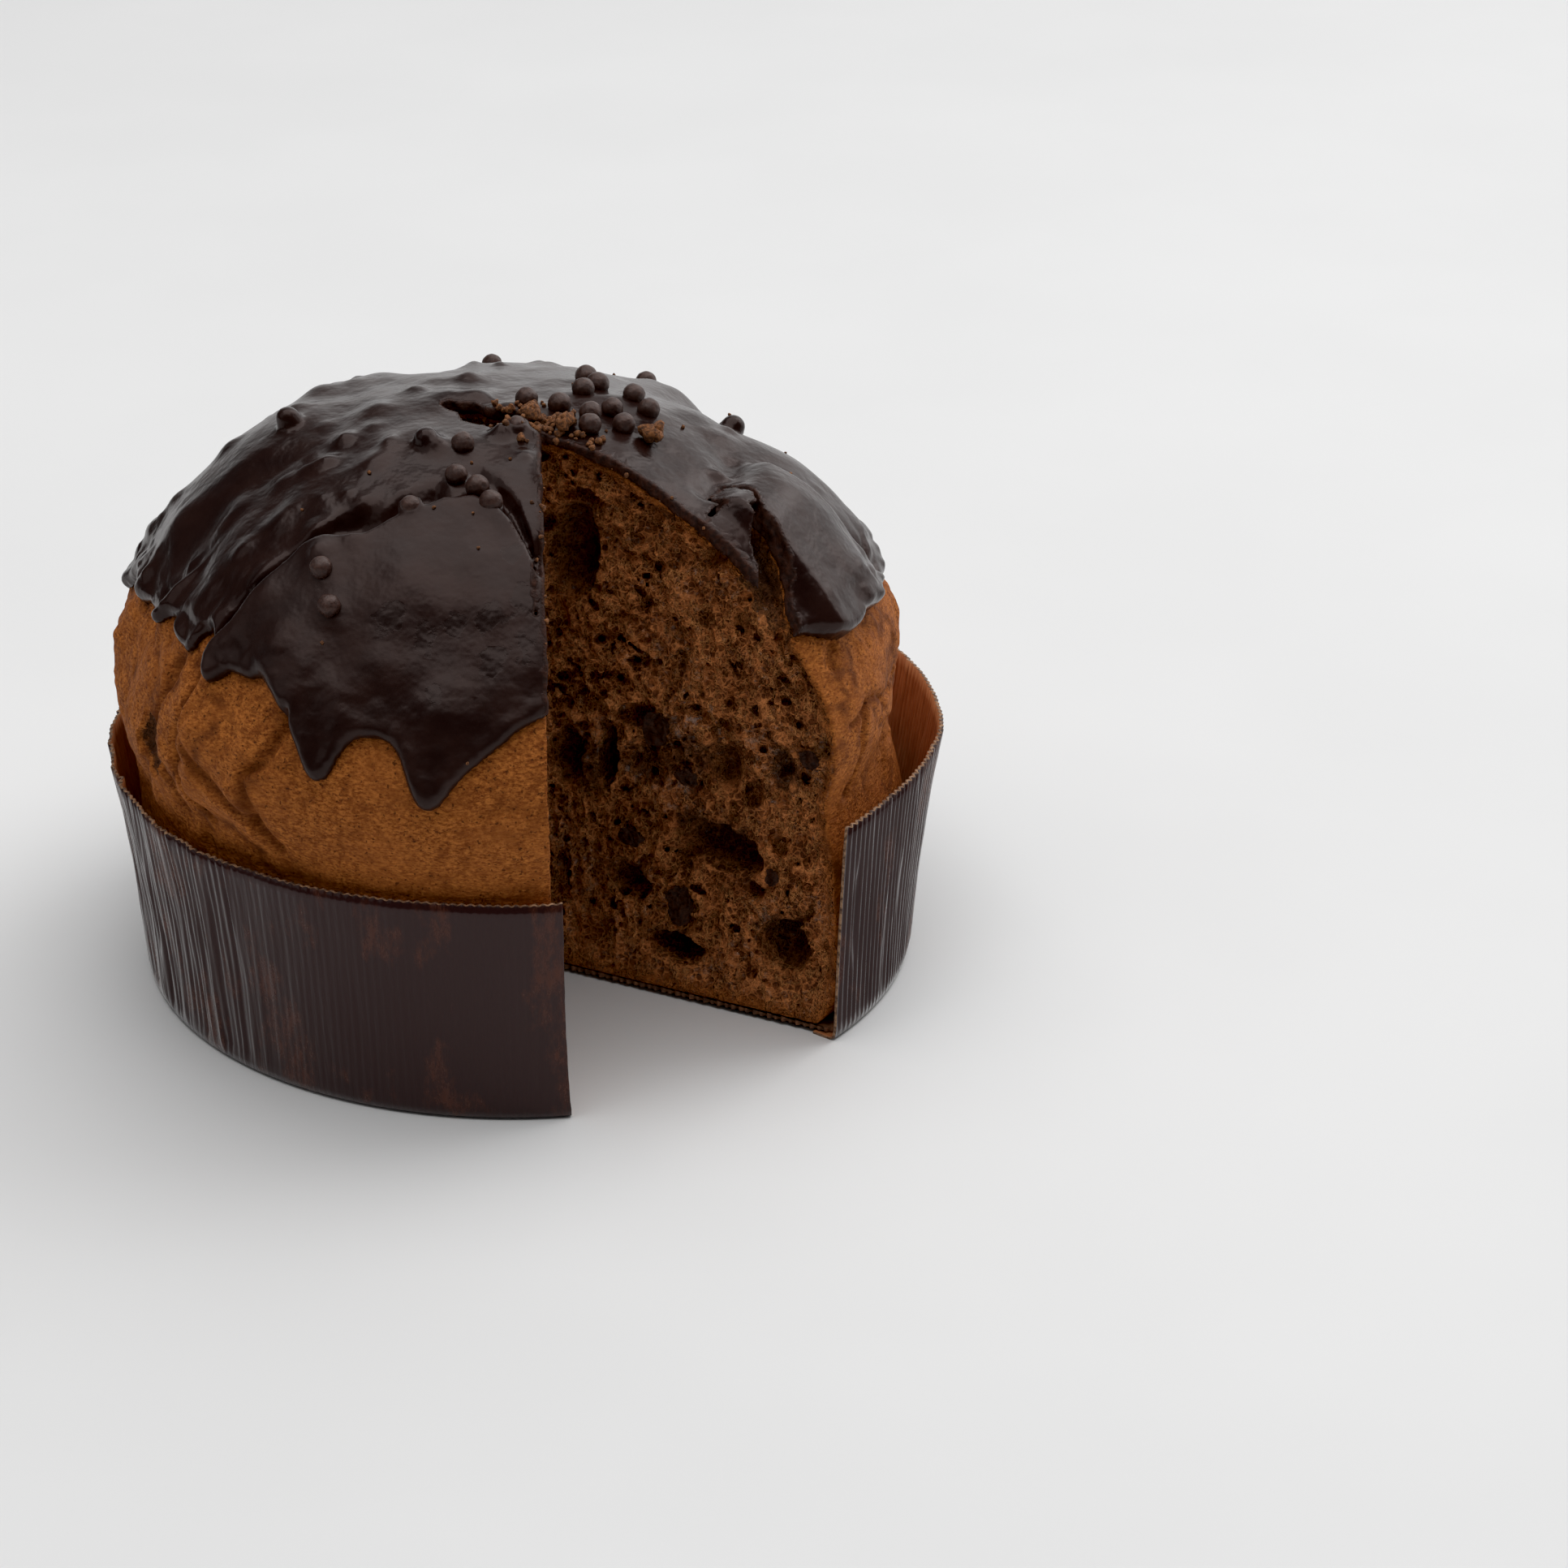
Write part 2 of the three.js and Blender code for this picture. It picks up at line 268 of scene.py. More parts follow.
# The front leaf stands clear of the rest: the distance from the dome's middle at which it begins.
FRONT_LEAF = [
    (-139, 92), (-137.5, 84), (-135, 77), (-131, 68), (-129, 63), (-125, 59.5), (-118, 57),
    (-114, 52.5), (-107, 48), (-102, 44.5), (-94, 43.5), (-87, 47), (-83.5, 51), (-81, 56), (-78.5, 66),
]  # fmt: skip
FRONT_RISE = 3.4


def smooth(x, low, high):
    t = np.clip((x - low) / (high - low), 0, 1)
    return t * t * (3 - 2 * t)


def turn(a, b):
    """Degrees between two bearings."""
    return np.abs((a - b + 180) % 360 - 180)


class Noise:
    """Smooth random numbers between -1 and 1."""

    def __init__(self, seed):
        self.lattice = np.random.default_rng(seed).uniform(-1, 1, (48, 48, 48)).astype(np.float32)

    def __call__(self, points, size):
        place = points / np.asarray(size, np.float32)
        cell = np.floor(place)
        part = (place - cell).astype(np.float32)
        part = part * part * (3 - 2 * part)
        cell = cell.astype(np.int32)
        total = np.zeros(points.shape[:-1], np.float32)
        for corner in np.ndindex(2, 2, 2):
            weight = np.ones_like(total)
            for k in range(3):
                weight *= part[..., k] if corner[k] else 1 - part[..., k]
            total += weight * self.lattice[tuple((cell[..., k] + corner[k]) % 48 for k in range(3))]
        return total


def spline(points, steps):
    """A smooth curve through points, uniform in its parameter."""
    points = np.array(points, float)
    share = np.linspace(0, len(points) - 1, steps)
    first = np.minimum(share.astype(int), len(points) - 2)
    t = (share - first)[:, None]
    before, after = points[np.maximum(first - 1, 0)], points[np.minimum(first + 2, len(points) - 1)]
    start, end = points[first], points[first + 1]
    leave, arrive = (end - before) / 2, (after - start) / 2
    cubic = 2 * start - 2 * end + leave + arrive
    square = 3 * end - 3 * start - 2 * leave - arrive
    return ((cubic * t + square) * t + leave) * t + start


outline = spline(SECTION, 2400)
reach_along = np.append(0, np.cumsum(np.linalg.norm(np.diff(outline, axis=0), axis=1)))
direction = np.gradient(outline, reach_along, axis=0)
FORM_AROUND, FORM_STEP = 800, 0.7
bearings = np.arange(FORM_AROUND) * 360 / FORM_AROUND - 180
reaches = np.arange(0, reach_along[-1], FORM_STEP)
REACH, BEARING = np.meshgrid(reaches, bearings, indexing="ij")
RADIUS = np.interp(REACH, reach_along, outline[:, 0])
HEIGHT = np.interp(REACH, reach_along, outline[:, 1])
OUT_RADIUS = -np.interp(REACH, reach_along, direction[:, 1])
OUT_HEIGHT = np.interp(REACH, reach_along, direction[:, 0])


def form_points(offset):
    """The form's points, moved outwards by an offset at each of them."""
    radius = np.maximum(0, RADIUS + OUT_RADIUS * offset)
    height = HEIGHT + OUT_HEIGHT * offset
    lean = smooth(height, *LEAN_HEIGHTS)
    east = radius * np.cos(np.radians(BEARING)) + LEAN[0] * lean
    north = radius * np.sin(np.radians(BEARING)) + LEAN[1] * lean
    return np.stack([east, north, height], axis=-1)


def from_line(bearing, height, line):
    """Distance on the loaf's side to a line of bearings and heights, in millimetres."""
    per_degree = math.radians(93)
    place = np.stack([bearing * per_degree, height], axis=-1)
    nearest = np.full(bearing.shape, 1e3)
    for start, end in zip(line[:-1], line[1:]):
        start = np.array([start[0] * per_degree, start[1]])
        along = np.array([end[0] * per_degree, end[1]]) - start
        share = np.clip(((place - start) @ along) / (along @ along), 0, 1)
        gap = np.linalg.norm(place - start - share[..., None] * along, axis=-1)
        nearest = np.minimum(nearest, gap)
    return nearest


# Folds pressed into the crust: their line as bearings and heights, depth and width.
FOLDS = [
    ([(-149, 100), (-149, 89), (-150, 80), (-146, 75), (-142, 66)], 1.6, 1.6),
    ([(-141, 102), (-142, 83), (-142, 77), (-139, 73), (-134, 69)], 1.8, 1.3),
    ([(-140, 89), (-137, 86), (-135, 82), (-131, 79), (-125, 75)], 1.5, 1.2),
    ([(-120, 99), (-122, 90), (-125, 84), (-125, 76), (-122, 66)], 2.0, 1.6),
    ([(-124, 86), (-120, 88), (-116, 91)], 0.8, 0.9),
    ([(-117, 88), (-113, 85.5), (-110, 85)], 0.5, 0.7),
    ([(-95, 84), (-91, 83), (-87, 84.3), (-80, 84)], 0.6, 0.5),
    ([(-28, 82), (-21, 84), (-15, 81), (-8, 79), (0, 81)], 1.5, 0.8),
    ([(-23, 84), (-26, 78), (-25, 72), (-27, 62)], 1.5, 1.1),
    ([(-4, 79), (-6, 70), (-4, 62)], 1.8, 1.3),
    ([(-27, 100), (-28, 96)], 1.2, 1.0),
    ([(20, 99), (24, 84), (21, 60)], 1.6, 1.6),
    ([(101, 100), (104, 84), (99, 72)], 1.6, 1.6),
]
still_points = form_points(np.zeros_like(RADIUS))
LEAF_SOFT, LEAF_SIDE = 8, 7
pearl_nodes = sorted(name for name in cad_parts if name.startswith("pearl"))
pearl_boxes = [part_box(name) for name in pearl_nodes]
pearl_places = np.array([(low + high) / 2 for low, high in pearl_boxes]) / MM - AXIS
pearl_radius = max((high.x - low.x) / 2 for low, high in pearl_boxes) / MM
clear_of_pearls = np.ones_like(RADIUS)
for place in pearl_places:
    beside = np.linalg.norm(still_points[..., :2] - place[:2], axis=-1)
    clear_of_pearls *= 1 - np.exp(-((beside / 4.6) ** 4))


def front_leaf(bearing, radius):
    """How far inside the front leaf's outline a point is, in millimetres."""
    starts, begins = np.array(FRONT_LEAF).T
    inner = np.interp(bearing, starts, begins, left=150, right=64)
    aside = np.minimum(bearing - starts[0], -70 - bearing) * np.radians(radius)
    return np.minimum(radius - inner, aside)


def puffed(points):
    """The puffs of the bare crust, with sharp creases between them, in millimetres."""
    warped = points + 3 * np.stack([Noise(n)(points, 9) for n in (6, 7, 8)], axis=-1)
    puffs = 2.4 * np.abs(Noise(3)(warped, (12, 12, 15)))
    puffs += 1.1 * np.abs(Noise(4)(warped, (6, 6, 5)))
    return puffs + 0.5 * np.abs(Noise(9)(warped, (4, 4, 2)))


def bread_offset():
    """How far the crust stands out of the lathe's form."""
    out = np.zeros_like(RADIUS)
    for bearing, half, inner, rise in LEAVES:
        across = 1 - smooth(turn(BEARING, bearing), half - LEAF_SIDE, half + LEAF_SIDE)
        out += rise * across * smooth(RADIUS, inner - LEAF_SOFT, inner + LEAF_SOFT)
    inside = front_leaf(BEARING, RADIUS)
    taller = 1 + 0.5 * smooth(-BEARING, 108, 124)
    out += FRONT_RISE * taller * smooth(inside, -1.2, 2.2)
    valley = np.exp(-(((inside + 4.6) / 3.8) ** 2)) * smooth(HEIGHT, 100, 112)
    out -= 4.2 * valley * clear_of_pearls
    broad = 0.9 * np.sin(np.radians(5 * BEARING + 40))
    narrow = 0.6 * np.sin(np.radians(9 * BEARING - 25))
    out += (broad + narrow) * smooth(RADIUS, 20, 60)
    out *= smooth(HEIGHT, CASE_HEIGHT + 4, CASE_HEIGHT + 32)
    bare = smooth(HEIGHT, CASE_HEIGHT - 12, CASE_HEIGHT + 2) * (1 - smooth(HEIGHT, 106, 114))
    wrinkled = 0.12 + 0.88 * smooth(turn(BEARING, -92), 24, 36) * smooth(turn(BEARING, -30), 4, 16)
    out += (puffed(still_points) - 1.3) * wrinkled * bare
    out += 0.16 * Noise(5)(still_points, (1.9, 1.9, 1.4)) * bare
    shifted = BEARING + 1.6 * Noise(10)(still_points, 7), HEIGHT + 1.2 * Noise(12)(still_points, 6)
    for line, depth, width in FOLDS:
        out -= 1.35 * depth * np.exp(-((from_line(*shifted, line) / width) ** 2)) * bare
    return out


around, down = np.arange(FORM_AROUND), np.arange(len(reaches) - 1)[:, None]
next_around = (around + 1) % FORM_AROUND
upper_row, lower_row = down * FORM_AROUND, (down + 1) * FORM_AROUND
corners = [upper_row + around, lower_row + around, lower_row + next_around, upper_row + next_around]
form_quads = np.stack(corners, axis=-1).reshape(-1, 4)
last_row = (len(reaches) - 1) * FORM_AROUND
foot_centre = np.full(FORM_AROUND, last_row + FORM_AROUND)
form_foot = np.stack([last_row + around, foot_centre, last_row + next_around], axis=-1)

# The field: a grid of distances to the surface, below zero inside.
grid_low = np.round(np.array([-113, -113, -3]) / VOXEL).astype(int)
grid_count = np.round(np.array([226, 226, 162]) / VOXEL).astype(int)
grid_lines = [(grid_low[k] + np.arange(grid_count[k])) * VOXEL for k in range(2)]
X, Y = np.meshgrid(*grid_lines, indexing="ij", sparse=True)
to_grid = openvdb.createLinearTransform(voxelSize=VOXEL)
BAND = 14  # voxels each side of a surface in which distances are exact


def field_of(points):
    """The distances to a form's surface, closed at its foot."""
    foot = np.array([[0, 0, points[-1, :, 2].mean()]])
    points = np.concatenate([points.reshape(-1, 3), foot]).astype(np.float32)
    level = openvdb.FloatGrid.createLevelSetFromPolygons(
        points, quads=form_quads.astype(np.uint32), triangles=form_foot.astype(np.uint32),
        transform=to_grid, halfWidth=BAND,
    )  # fmt: skip
    field = np.empty(grid_count, np.float32)
    level.copyToArray(field, ijk=tuple(int(i) for i in grid_low))
    return field


def spots_of(cells):
    """The places of cells of the grid, given by their three indices."""
    return np.stack([(grid_low[k] + cells[k]) * VOXEL for k in range(3)], axis=-1).astype(np.float32)


def window(centre, radius):
    """The part of the grid within a radius of a point, and its places from that point."""
    first = np.maximum(np.floor((centre - radius) / VOXEL).astype(int) - grid_low, 0)
    last = np.minimum(np.ceil((centre + radius) / VOXEL).astype(int) - grid_low + 1, grid_count)
    part = tuple(slice(a, b) for a, b in zip(first, last))
    places = [(grid_low[k] + np.arange(first[k], last[k])) * VOXEL - centre[k] for k in range(3)]
    return part, np.meshgrid(*places, indexing="ij", sparse=True)


def take_ball(holes, centre, axis, short, long):
    """Lowers the field of holes to that of an egg with its long radius along an axis."""
    part, (x, y, z) = window(centre, max(short, long) + 2)
    ahead = x * axis[0] + y * axis[1] + z * axis[2]
    beside = np.maximum(x * x + y * y + z * z - ahead * ahead, 0)
    away = (np.sqrt(beside / short**2 + ahead * ahead / long**2) - 1) * min(short, long)
    np.minimum(holes[part], away, out=holes[part])


def heading(bearing):
    """The level direction of a bearing."""
    return np.array([math.cos(math.radians(bearing)), math.sin(math.radians(bearing))])


cut_ways = [heading(bearing) for bearing in CUT_BEARINGS]
cut_outs = [np.array([-cut_ways[0][1], cut_ways[0][0]]), np.array([cut_ways[1][1], -cut_ways[1][0]])]


def at_cut(cut, along, height, inside):
    """A point by its share along a cut from the apex, its height, and how far it is in the bread."""
    flat = APEX + along * cut_ways[cut] - inside * cut_outs[cut]
    return np.array([flat[0], flat[1], height])


def knife(x, y):
    """Distance in front of the nearer cut, and which cut that is."""
    fronts = [(x - APEX[0]) * out[0] + (y - APEX[1]) * out[1] for out in cut_outs]
    return np.minimum(*fronts), (fronts[1] < fronts[0]).astype(int)


bread_out = bread_offset()
bread_points = form_points(bread_out)
bread = field_of(bread_points)
holes = np.full(grid_count, 9, np.float32)

# Large cavities: cut, along, height, half sizes along, up and inwards, and their tilt.
CAVITIES = [
    (1, 6, 116, 8, 14, 13, 8), (1, 24, 122, 2.5, 2.5, 6, 0), (1, 15, 62, 3, 9, 13, 4),
    (1, 3, 60, 5, 9, 11, 0), (1, 47, 43, 12, 6.5, 15, 8), (1, 40, 47, 5, 4, 9, 0),
    (1, 64, 20, 7, 8, 13, -10), (1, 64, 67, 2, 4, 8, 0), (1, 45, 122, 2.6, 7, 7, 52),
    (1, 68, 92, 2.2, 3.5, 6, 10), (1, 40, 79, 5, 3.5, 6, 20), (1, 47, 66, 5, 8, 10, -12),
    (1, 26, 66, 4, 5, 6, 20), (1, 21, 28, 6, 5, 10, 0), (1, 34, 13, 8, 4, 11, 6),
    (1, 33, 92, 3, 2, 5, 0), (1, 20, 101, 6, 2, 5, 8), (1, 55, 34, 4, 3, 9, 20),
    (1, 12, 40, 4, 3, 5, 0),
    (0, 16, 112, 5, 9, 7, 10), (0, 38, 52, 8, 5, 9, 10), (0, 58, 92, 3, 5, 6, 30),
    (0, 26, 78, 3, 7, 6, 0), (0, 57, 30, 6, 4, 8, 0), (0, 12, 46, 4, 5, 6, 0),
    (0, 40, 108, 3, 2.5, 6, 40), (0, 66, 60, 2.5, 6, 6, 0), (0, 30, 20, 6, 3, 6, 0),
]  # fmt: skip
for cut, along, height, half_along, half_up, half_in, tilt in CAVITIES:
    way = np.append(cut_ways[cut], 0)
    up = np.array([0, 0, 1.0])
    long_way = way * math.sin(math.radians(tilt)) + up * math.cos(math.radians(tilt))
    wide_way = way * math.cos(math.radians(tilt)) - up * math.sin(math.radians(tilt))
    in_way = np.append(cut_outs[cut], 0)
    part, (x, y, z) = window(at_cut(cut, along, height, 0), max(half_along, half_up, half_in) + 3)
    share = sum(
        ((x * w[0] + y * w[1] + z * w[2]) / half) ** 2
        for w, half in ((long_way, half_up), (wide_way, half_along), (in_way, half_in))
    )
    away = (np.sqrt(share) - 1) * min(half_along, half_up)
    np.minimum(holes[part], away, out=holes[part])

# Bubbles: mostly small, taller than wide, and lying along the crust near it.
BUBBLES = 2600
random = np.random.default_rng(11)
for cut in (0, 1):
    for _ in range(BUBBLES):
        along, height = random.uniform(-2, 96), random.uniform(4, 143)
        short = min(0.55 + 0.42 * random.pareto(1.9), 3.6)
        inside = random.uniform(-0.5, 1.6) if short > 1.8 else random.uniform(-1.5, 7)
        centre = at_cut(cut, along, height, inside)
        cell = np.clip(np.round(centre / VOXEL).astype(int) - grid_low, 0, grid_count - 1)
        under_crust = -bread[tuple(cell)]
        if under_crust < 1.6 * short + 0.8:
            continue
        low_down = 1 - smooth(height, 6, 26)
        short *= 1 - 0.45 * low_down
        out = np.array([centre[0], centre[1], max(centre[2] - 50, 0)])
        out /= np.linalg.norm(out) + 1e-6
        tangent = np.array([-out[0] * out[2], -out[1] * out[2], 1 - out[2] ** 2])
        lie = tangent + random.normal(0, 0.45, 3)
        lie /= np.linalg.norm(lie)
        take_ball(holes, centre, lie, short, short * random.uniform(1.3, 3.4))

# The torn crumb between the bubbles: thin walls that stand up sharply to the knife's path, with
# pits between them. The walls are drawn out along the crust near it.


def tearing(spots, ahead, cut, under):
    """How far the crumb is torn back, and how deep in a pit that is, from 0 to 1."""
    flat_out = np.hypot(spots[:, 0] - LEAN[0], spots[:, 1] - LEAN[1])
    risen = np.maximum(spots[:, 2] - 50, 0)
    layer = np.hypot(flat_out, risen)
    along = np.arctan2(risen, flat_out) * layer + 0.6 * np.minimum(spots[:, 2], 50)
    shift = [Noise(n)(spots, 7) for n in (21, 22, 23)]
    warped = spots + 2.2 * np.stack(shift, axis=-1)
    drawn = np.stack([layer + 2 * shift[0], along + 3 * shift[1], ahead + 50.0 * cut], axis=-1)
    walls = [
        (1.5, np.abs(Noise(24)(warped, (8, 8, 7)))),
        (1.4, np.abs(Noise(25)(drawn, (2.4, 10, 6)))),
        (1.1, np.abs(Noise(26)(warped + 40, (3.4, 3.4, 3.0)))),
        (1.0, np.abs(Noise(27)(warped, 1.9))),
        (0.6, np.abs(Noise(28)(drawn, (1.2, 4.5, 2.5)))),
    ]
    full = 0.14 + 0.86 * smooth(under, 0.6, 5)
    full *= 0.4 + 0.6 * smooth(spots[:, 2], 5, 20)
    pit = sum(depth * np.minimum(1, 2.1 * wall) for depth, wall in walls)
    broad = 1.1 * Noise(29)(spots, 15)
    return (pit + broad) * full, np.clip((pit - 1.2) / 3.4, 0, 1)


front, which = knife(X, Y)
close = (bread < 1.2) & (np.abs(front) < CARVED)[..., None]
cells = np.nonzero(close)
spots = spots_of(cells)
spot_front = front[cells[0], cells[1]].astype(np.float32)
spot_cut = which[cells[0], cells[1]].astype(np.float32)
torn_back, _ = tearing(spots, spot_front, spot_cut, -bread[cells])
shreds = holes[cells] + 0.5 * np.abs(Noise(30)(spots, 3.4)) + 0.2 * Noise(31)(spots, 1.7) - 0.3

# Openings torn in the crust and the coating: bearings and distances about the dome's middle,
# and half widths.
OPENINGS = [
    [(-176, 13, 1.0), (-150, 8, 3.0), (-112, 9.5, 4.4), (-88, 11, 4.6), (-66, 10.5, 3.0)],
    [(-26, 64.6, 1.0), (-27.8, 68, 2.6), (-29.4, 72, 3.6), (-31.3, 75.6, 3.9), (-32.8, 79.8, 2.4)],
    [(-32.8, 79.8, 2.4), (-33.2, 84, 0.8)],
    [(-20.3, 56.9, 0.15), (-27.5, 57.4, 0.25), (-28.5, 60.2, 0.3), (-33, 60.4, 0.2)],
    [(-20, 57.3, 0.2), (-21.5, 62.6, 0.35), (-25.5, 65.4, 0.8)],
    [(-80.6, 72, 0.25), (-79.5, 60, 0.3), (-83.5, 52, 0.2)],
]
dome = slice(0, outline[:, 0].argmax())


def on_dome(bearing, radius):
    """The point of the dome's form at a bearing and a distance from its middle."""
    height = np.interp(radius, outline[dome, 0], outline[dome, 1])
    return np.append(LEAN + heading(bearing) * radius, height)


def slot_between(start, end, field):
    """Lowers a field to that of a tapering slot down through the coating, between two places."""
    start, end = np.append(on_dome(*start[:2]), start[2]), np.append(on_dome(*end[:2]), end[2])
    middle, reach = (start[:3] + end[:3]) / 2, np.linalg.norm(end[:3] - start[:3]) / 2
    outward = middle - (*LEAN, 40)
    outward /= np.linalg.norm(outward)
    part, (x, y, z) = window(middle, reach + max(start[3], end[3]) + 9)
    x, y, z = x + middle[0] - start[0], y + middle[1] - start[1], z + middle[2] - start[2]
    way = end[:3] - start[:3]
    share = np.clip((x * way[0] + y * way[1] + z * way[2]) / (way @ way), 0, 1)
    gap = [x - share * way[0], y - share * way[1], z - share * way[2]]
    up = gap[0] * outward[0] + gap[1] * outward[1] + gap[2] * outward[2]
    away = np.sqrt(np.maximum(0, gap[0] ** 2 + gap[1] ** 2 + gap[2] ** 2 - up**2))
    away -= start[3] + share * (end[3] - start[3])
    away = np.maximum(away, np.maximum(-2 - up, up - 14))
    np.minimum(field[part], away.astype(np.float32), out=field[part])


torn_open = np.full(grid_count, 9, np.float32)
for line in OPENINGS:
    for start, end in zip(line[:-1], line[1:]):
        slot_between(start, end, torn_open)
TORN_DEPTH = 5  # of the crumb under an opening
# The hole that a chunk melted in the crust: bearings, heights, and radii across and up.
SIDE_HOLE = [(-152, 79, 3.6, 5.5), (-150.2, 74, 2.6, 4), (-153.2, 85, 2.2, 3.5)]
for bearing, height, wide, tall in SIDE_HOLE:
    centre = np.append(LEAN + heading(bearing) * BULGE_RADIUS, height)
    take_ball(torn_open, centre, (0.1, 0.2, 0.97), wide, tall)
gap_cells = np.nonzero(torn_open < 3)
gap_spots = spots_of(gap_cells)
torn_open[gap_cells] += 0.7 * Noise(41)(gap_spots, 3) + 0.4 * Noise(42)(gap_spots, 1.6)

loaf_field = np.maximum(bread, front[..., None].astype(np.float32))
loaf_field[cells] = np.maximum(bread[cells], np.maximum(spot_front + torn_back, -shreds))
wide_open = torn_open[gap_cells] - 0.8
bottom = -TORN_DEPTH - bread[gap_cells] - 2 * np.abs(Noise(45)(gap_spots, 4))
loaf_field[gap_cells] = np.maximum(loaf_field[gap_cells], -np.maximum(wide_open, bottom))


def largest_piece(points, quads):
    """The points and quads of the largest connected surface."""
    label = np.arange(len(points))
    ends = np.concatenate([quads[:, [0, 1]], quads[:, [1, 2]], quads[:, [2, 3]], quads[:, [3, 0]]])
    while True:
        lowest = np.minimum(label[ends[:, 0]], label[ends[:, 1]])
        next_label = label.copy()
        np.minimum.at(next_label, ends[:, 0], lowest)
        np.minimum.at(next_label, ends[:, 1], lowest)
        next_label = next_label[next_label]
        if (next_label == label).all():
            break
        label = next_label
    names, counts = np.unique(label, return_counts=True)
    kept = label == names[counts.argmax()]
    number = np.cumsum(kept) - 1
    return points[kept], number[quads[kept[quads[:, 0]]]]


def surface_of(field):
    """The points and quads of a field's surface, in millimetres."""
    clamp = 2.5 * VOXEL
    grid = openvdb.FloatGrid(clamp)
    grid.transform = to_grid
    first = tuple(int(i) for i in grid_low)
    grid.copyFromArray(np.clip(field, -clamp, clamp), ijk=first, tolerance=1e-4)
    points, _, quads = grid.convertToPolygons(isovalue=0, adaptivity=0)
    return largest_piece(points, quads.astype(np.int64))


MOST_TRIANGLES = 190000  # in one piece


def piece_of(name, points, quads, triangles, kept=()):
    """A new object of a surface, thinned to so many triangles but not at the kept points."""
    used = np.zeros(len(points), bool)
    used[quads] = True
    number = np.cumsum(used) - 1
    mesh = bpy.data.meshes.new(name)
    mesh.vertices.add(used.sum())
    mesh.vertices.foreach_set("co", in_metres(points[used]).astype(np.float32).ravel())
    mesh.loops.add(4 * len(quads))
    mesh.loops.foreach_set("vertex_index", number[quads].astype(np.int32).ravel())
    mesh.polygons.add(len(quads))
    mesh.polygons.foreach_set("loop_start", np.arange(0, 4 * len(quads), 4, dtype=np.int32))
    mesh.update(calc_edges=True)
    piece = placed(name, mesh)
    fewer = piece.modifiers.new("fewer", "DECIMATE")
    fewer.ratio = min(1, triangles / (2 * len(quads)))
    fewer.use_collapse_triangulate = True
    if len(kept):
        held = np.zeros(len(points), bool)
        held[kept] = True
        free = piece.vertex_groups.new(name="free")
        free.add(np.nonzero(~held[used])[0].tolist(), 1.0, "REPLACE")
        fewer.vertex_group = "free"
    return settled(piece)


def settled(piece):
    """The piece with its modifiers applied, smooth shaded."""
    evaluated = piece.evaluated_get(bpy.context.evaluated_depsgraph_get())
    finished = bpy.data.meshes.new_from_object(evaluated)
    finished.name = piece.name
    piece.modifiers.clear()
    piece.vertex_groups.clear()
    piece.data = finished
    finished.shade_smooth()
    return piece


def places_of(piece):
    """A piece's vertices about the case's axis, in millimetres."""
    places = np.empty(3 * len(piece.data.vertices), np.float32)
    piece.data.vertices.foreach_get("co", places)
    return places.reshape(-1, 3) / MM - AXIS


def from_middle(places):
    """Bearings and distances about the dome's middle."""
    east, north = places[:, 0] - LEAN[0], places[:, 1] - LEAN[1]
    return np.degrees(np.arctan2(north, east)), np.hypot(east, north)


def note(piece, name, values):
    """Stores a value between 0 and 1 for each vertex, which the finish reads."""
    store = piece.data.attributes.new(name, "FLOAT", "POINT")
    store.data.foreach_set("value", np.clip(values, 0, 1).astype(np.float32))


def sample(field, places):
    """The field's value at places."""
    spot = places / VOXEL - grid_low
    cell = np.clip(np.floor(spot).astype(int), 0, grid_count - 2)
    part = spot - cell
    total = 0
    for corner in np.ndindex(2, 2, 2):
        weight = np.prod([part[:, k] if corner[k] else 1 - part[:, k] for k in range(3)], axis=0)
        total = total + weight * field[tuple(cell[:, k] + corner[k] for k in range(3))]
    return total


# Where melted chocolate stained the crumb: cut, along, height, half sizes along and up.
STAINS = [
    (1, 28, 64, 14, 10), (1, 38, 68, 9, 12), (1, 10, 58, 8, 12), (1, 33, 14, 9, 6),
    (1, 20, 30, 8, 8), (1, 62, 24, 8, 9), (1, 46, 46, 14, 8), (1, 38, 50, 6, 5),
    (1, 64, 68, 7, 9), (1, 26, 74, 8, 5), (1, 8, 112, 7, 10), (1, 30, 132, 16, 3),
    (0, 24, 96, 9, 8), (0, 48, 34, 12, 9), (0, 60, 70, 8, 8), (0, 30, 54, 10, 7), (0, 14, 112, 6, 8),
]  # fmt: skip
loaf_points, loaf_quads = surface_of(loaf_field)
centres = loaf_points[loaf_quads].mean(axis=1)
centre_front, centre_cut = knife(centres[:, 0], centres[:, 1])
on_cut = (sample(bread, centres) < -0.3) & (centre_front > -CARVED) & (centres[:, 2] > 2.6)
parts = {
    "loaf_crust": loaf_quads[~on_cut],
    "loaf_left_cut": loaf_quads[on_cut & (centre_cut == 0)],
    "loaf_right_cut": loaf_quads[on_cut & (centre_cut == 1)],
}
uses = sum(np.isin(np.arange(len(loaf_points)), quads).astype(int) for quads in parts.values())

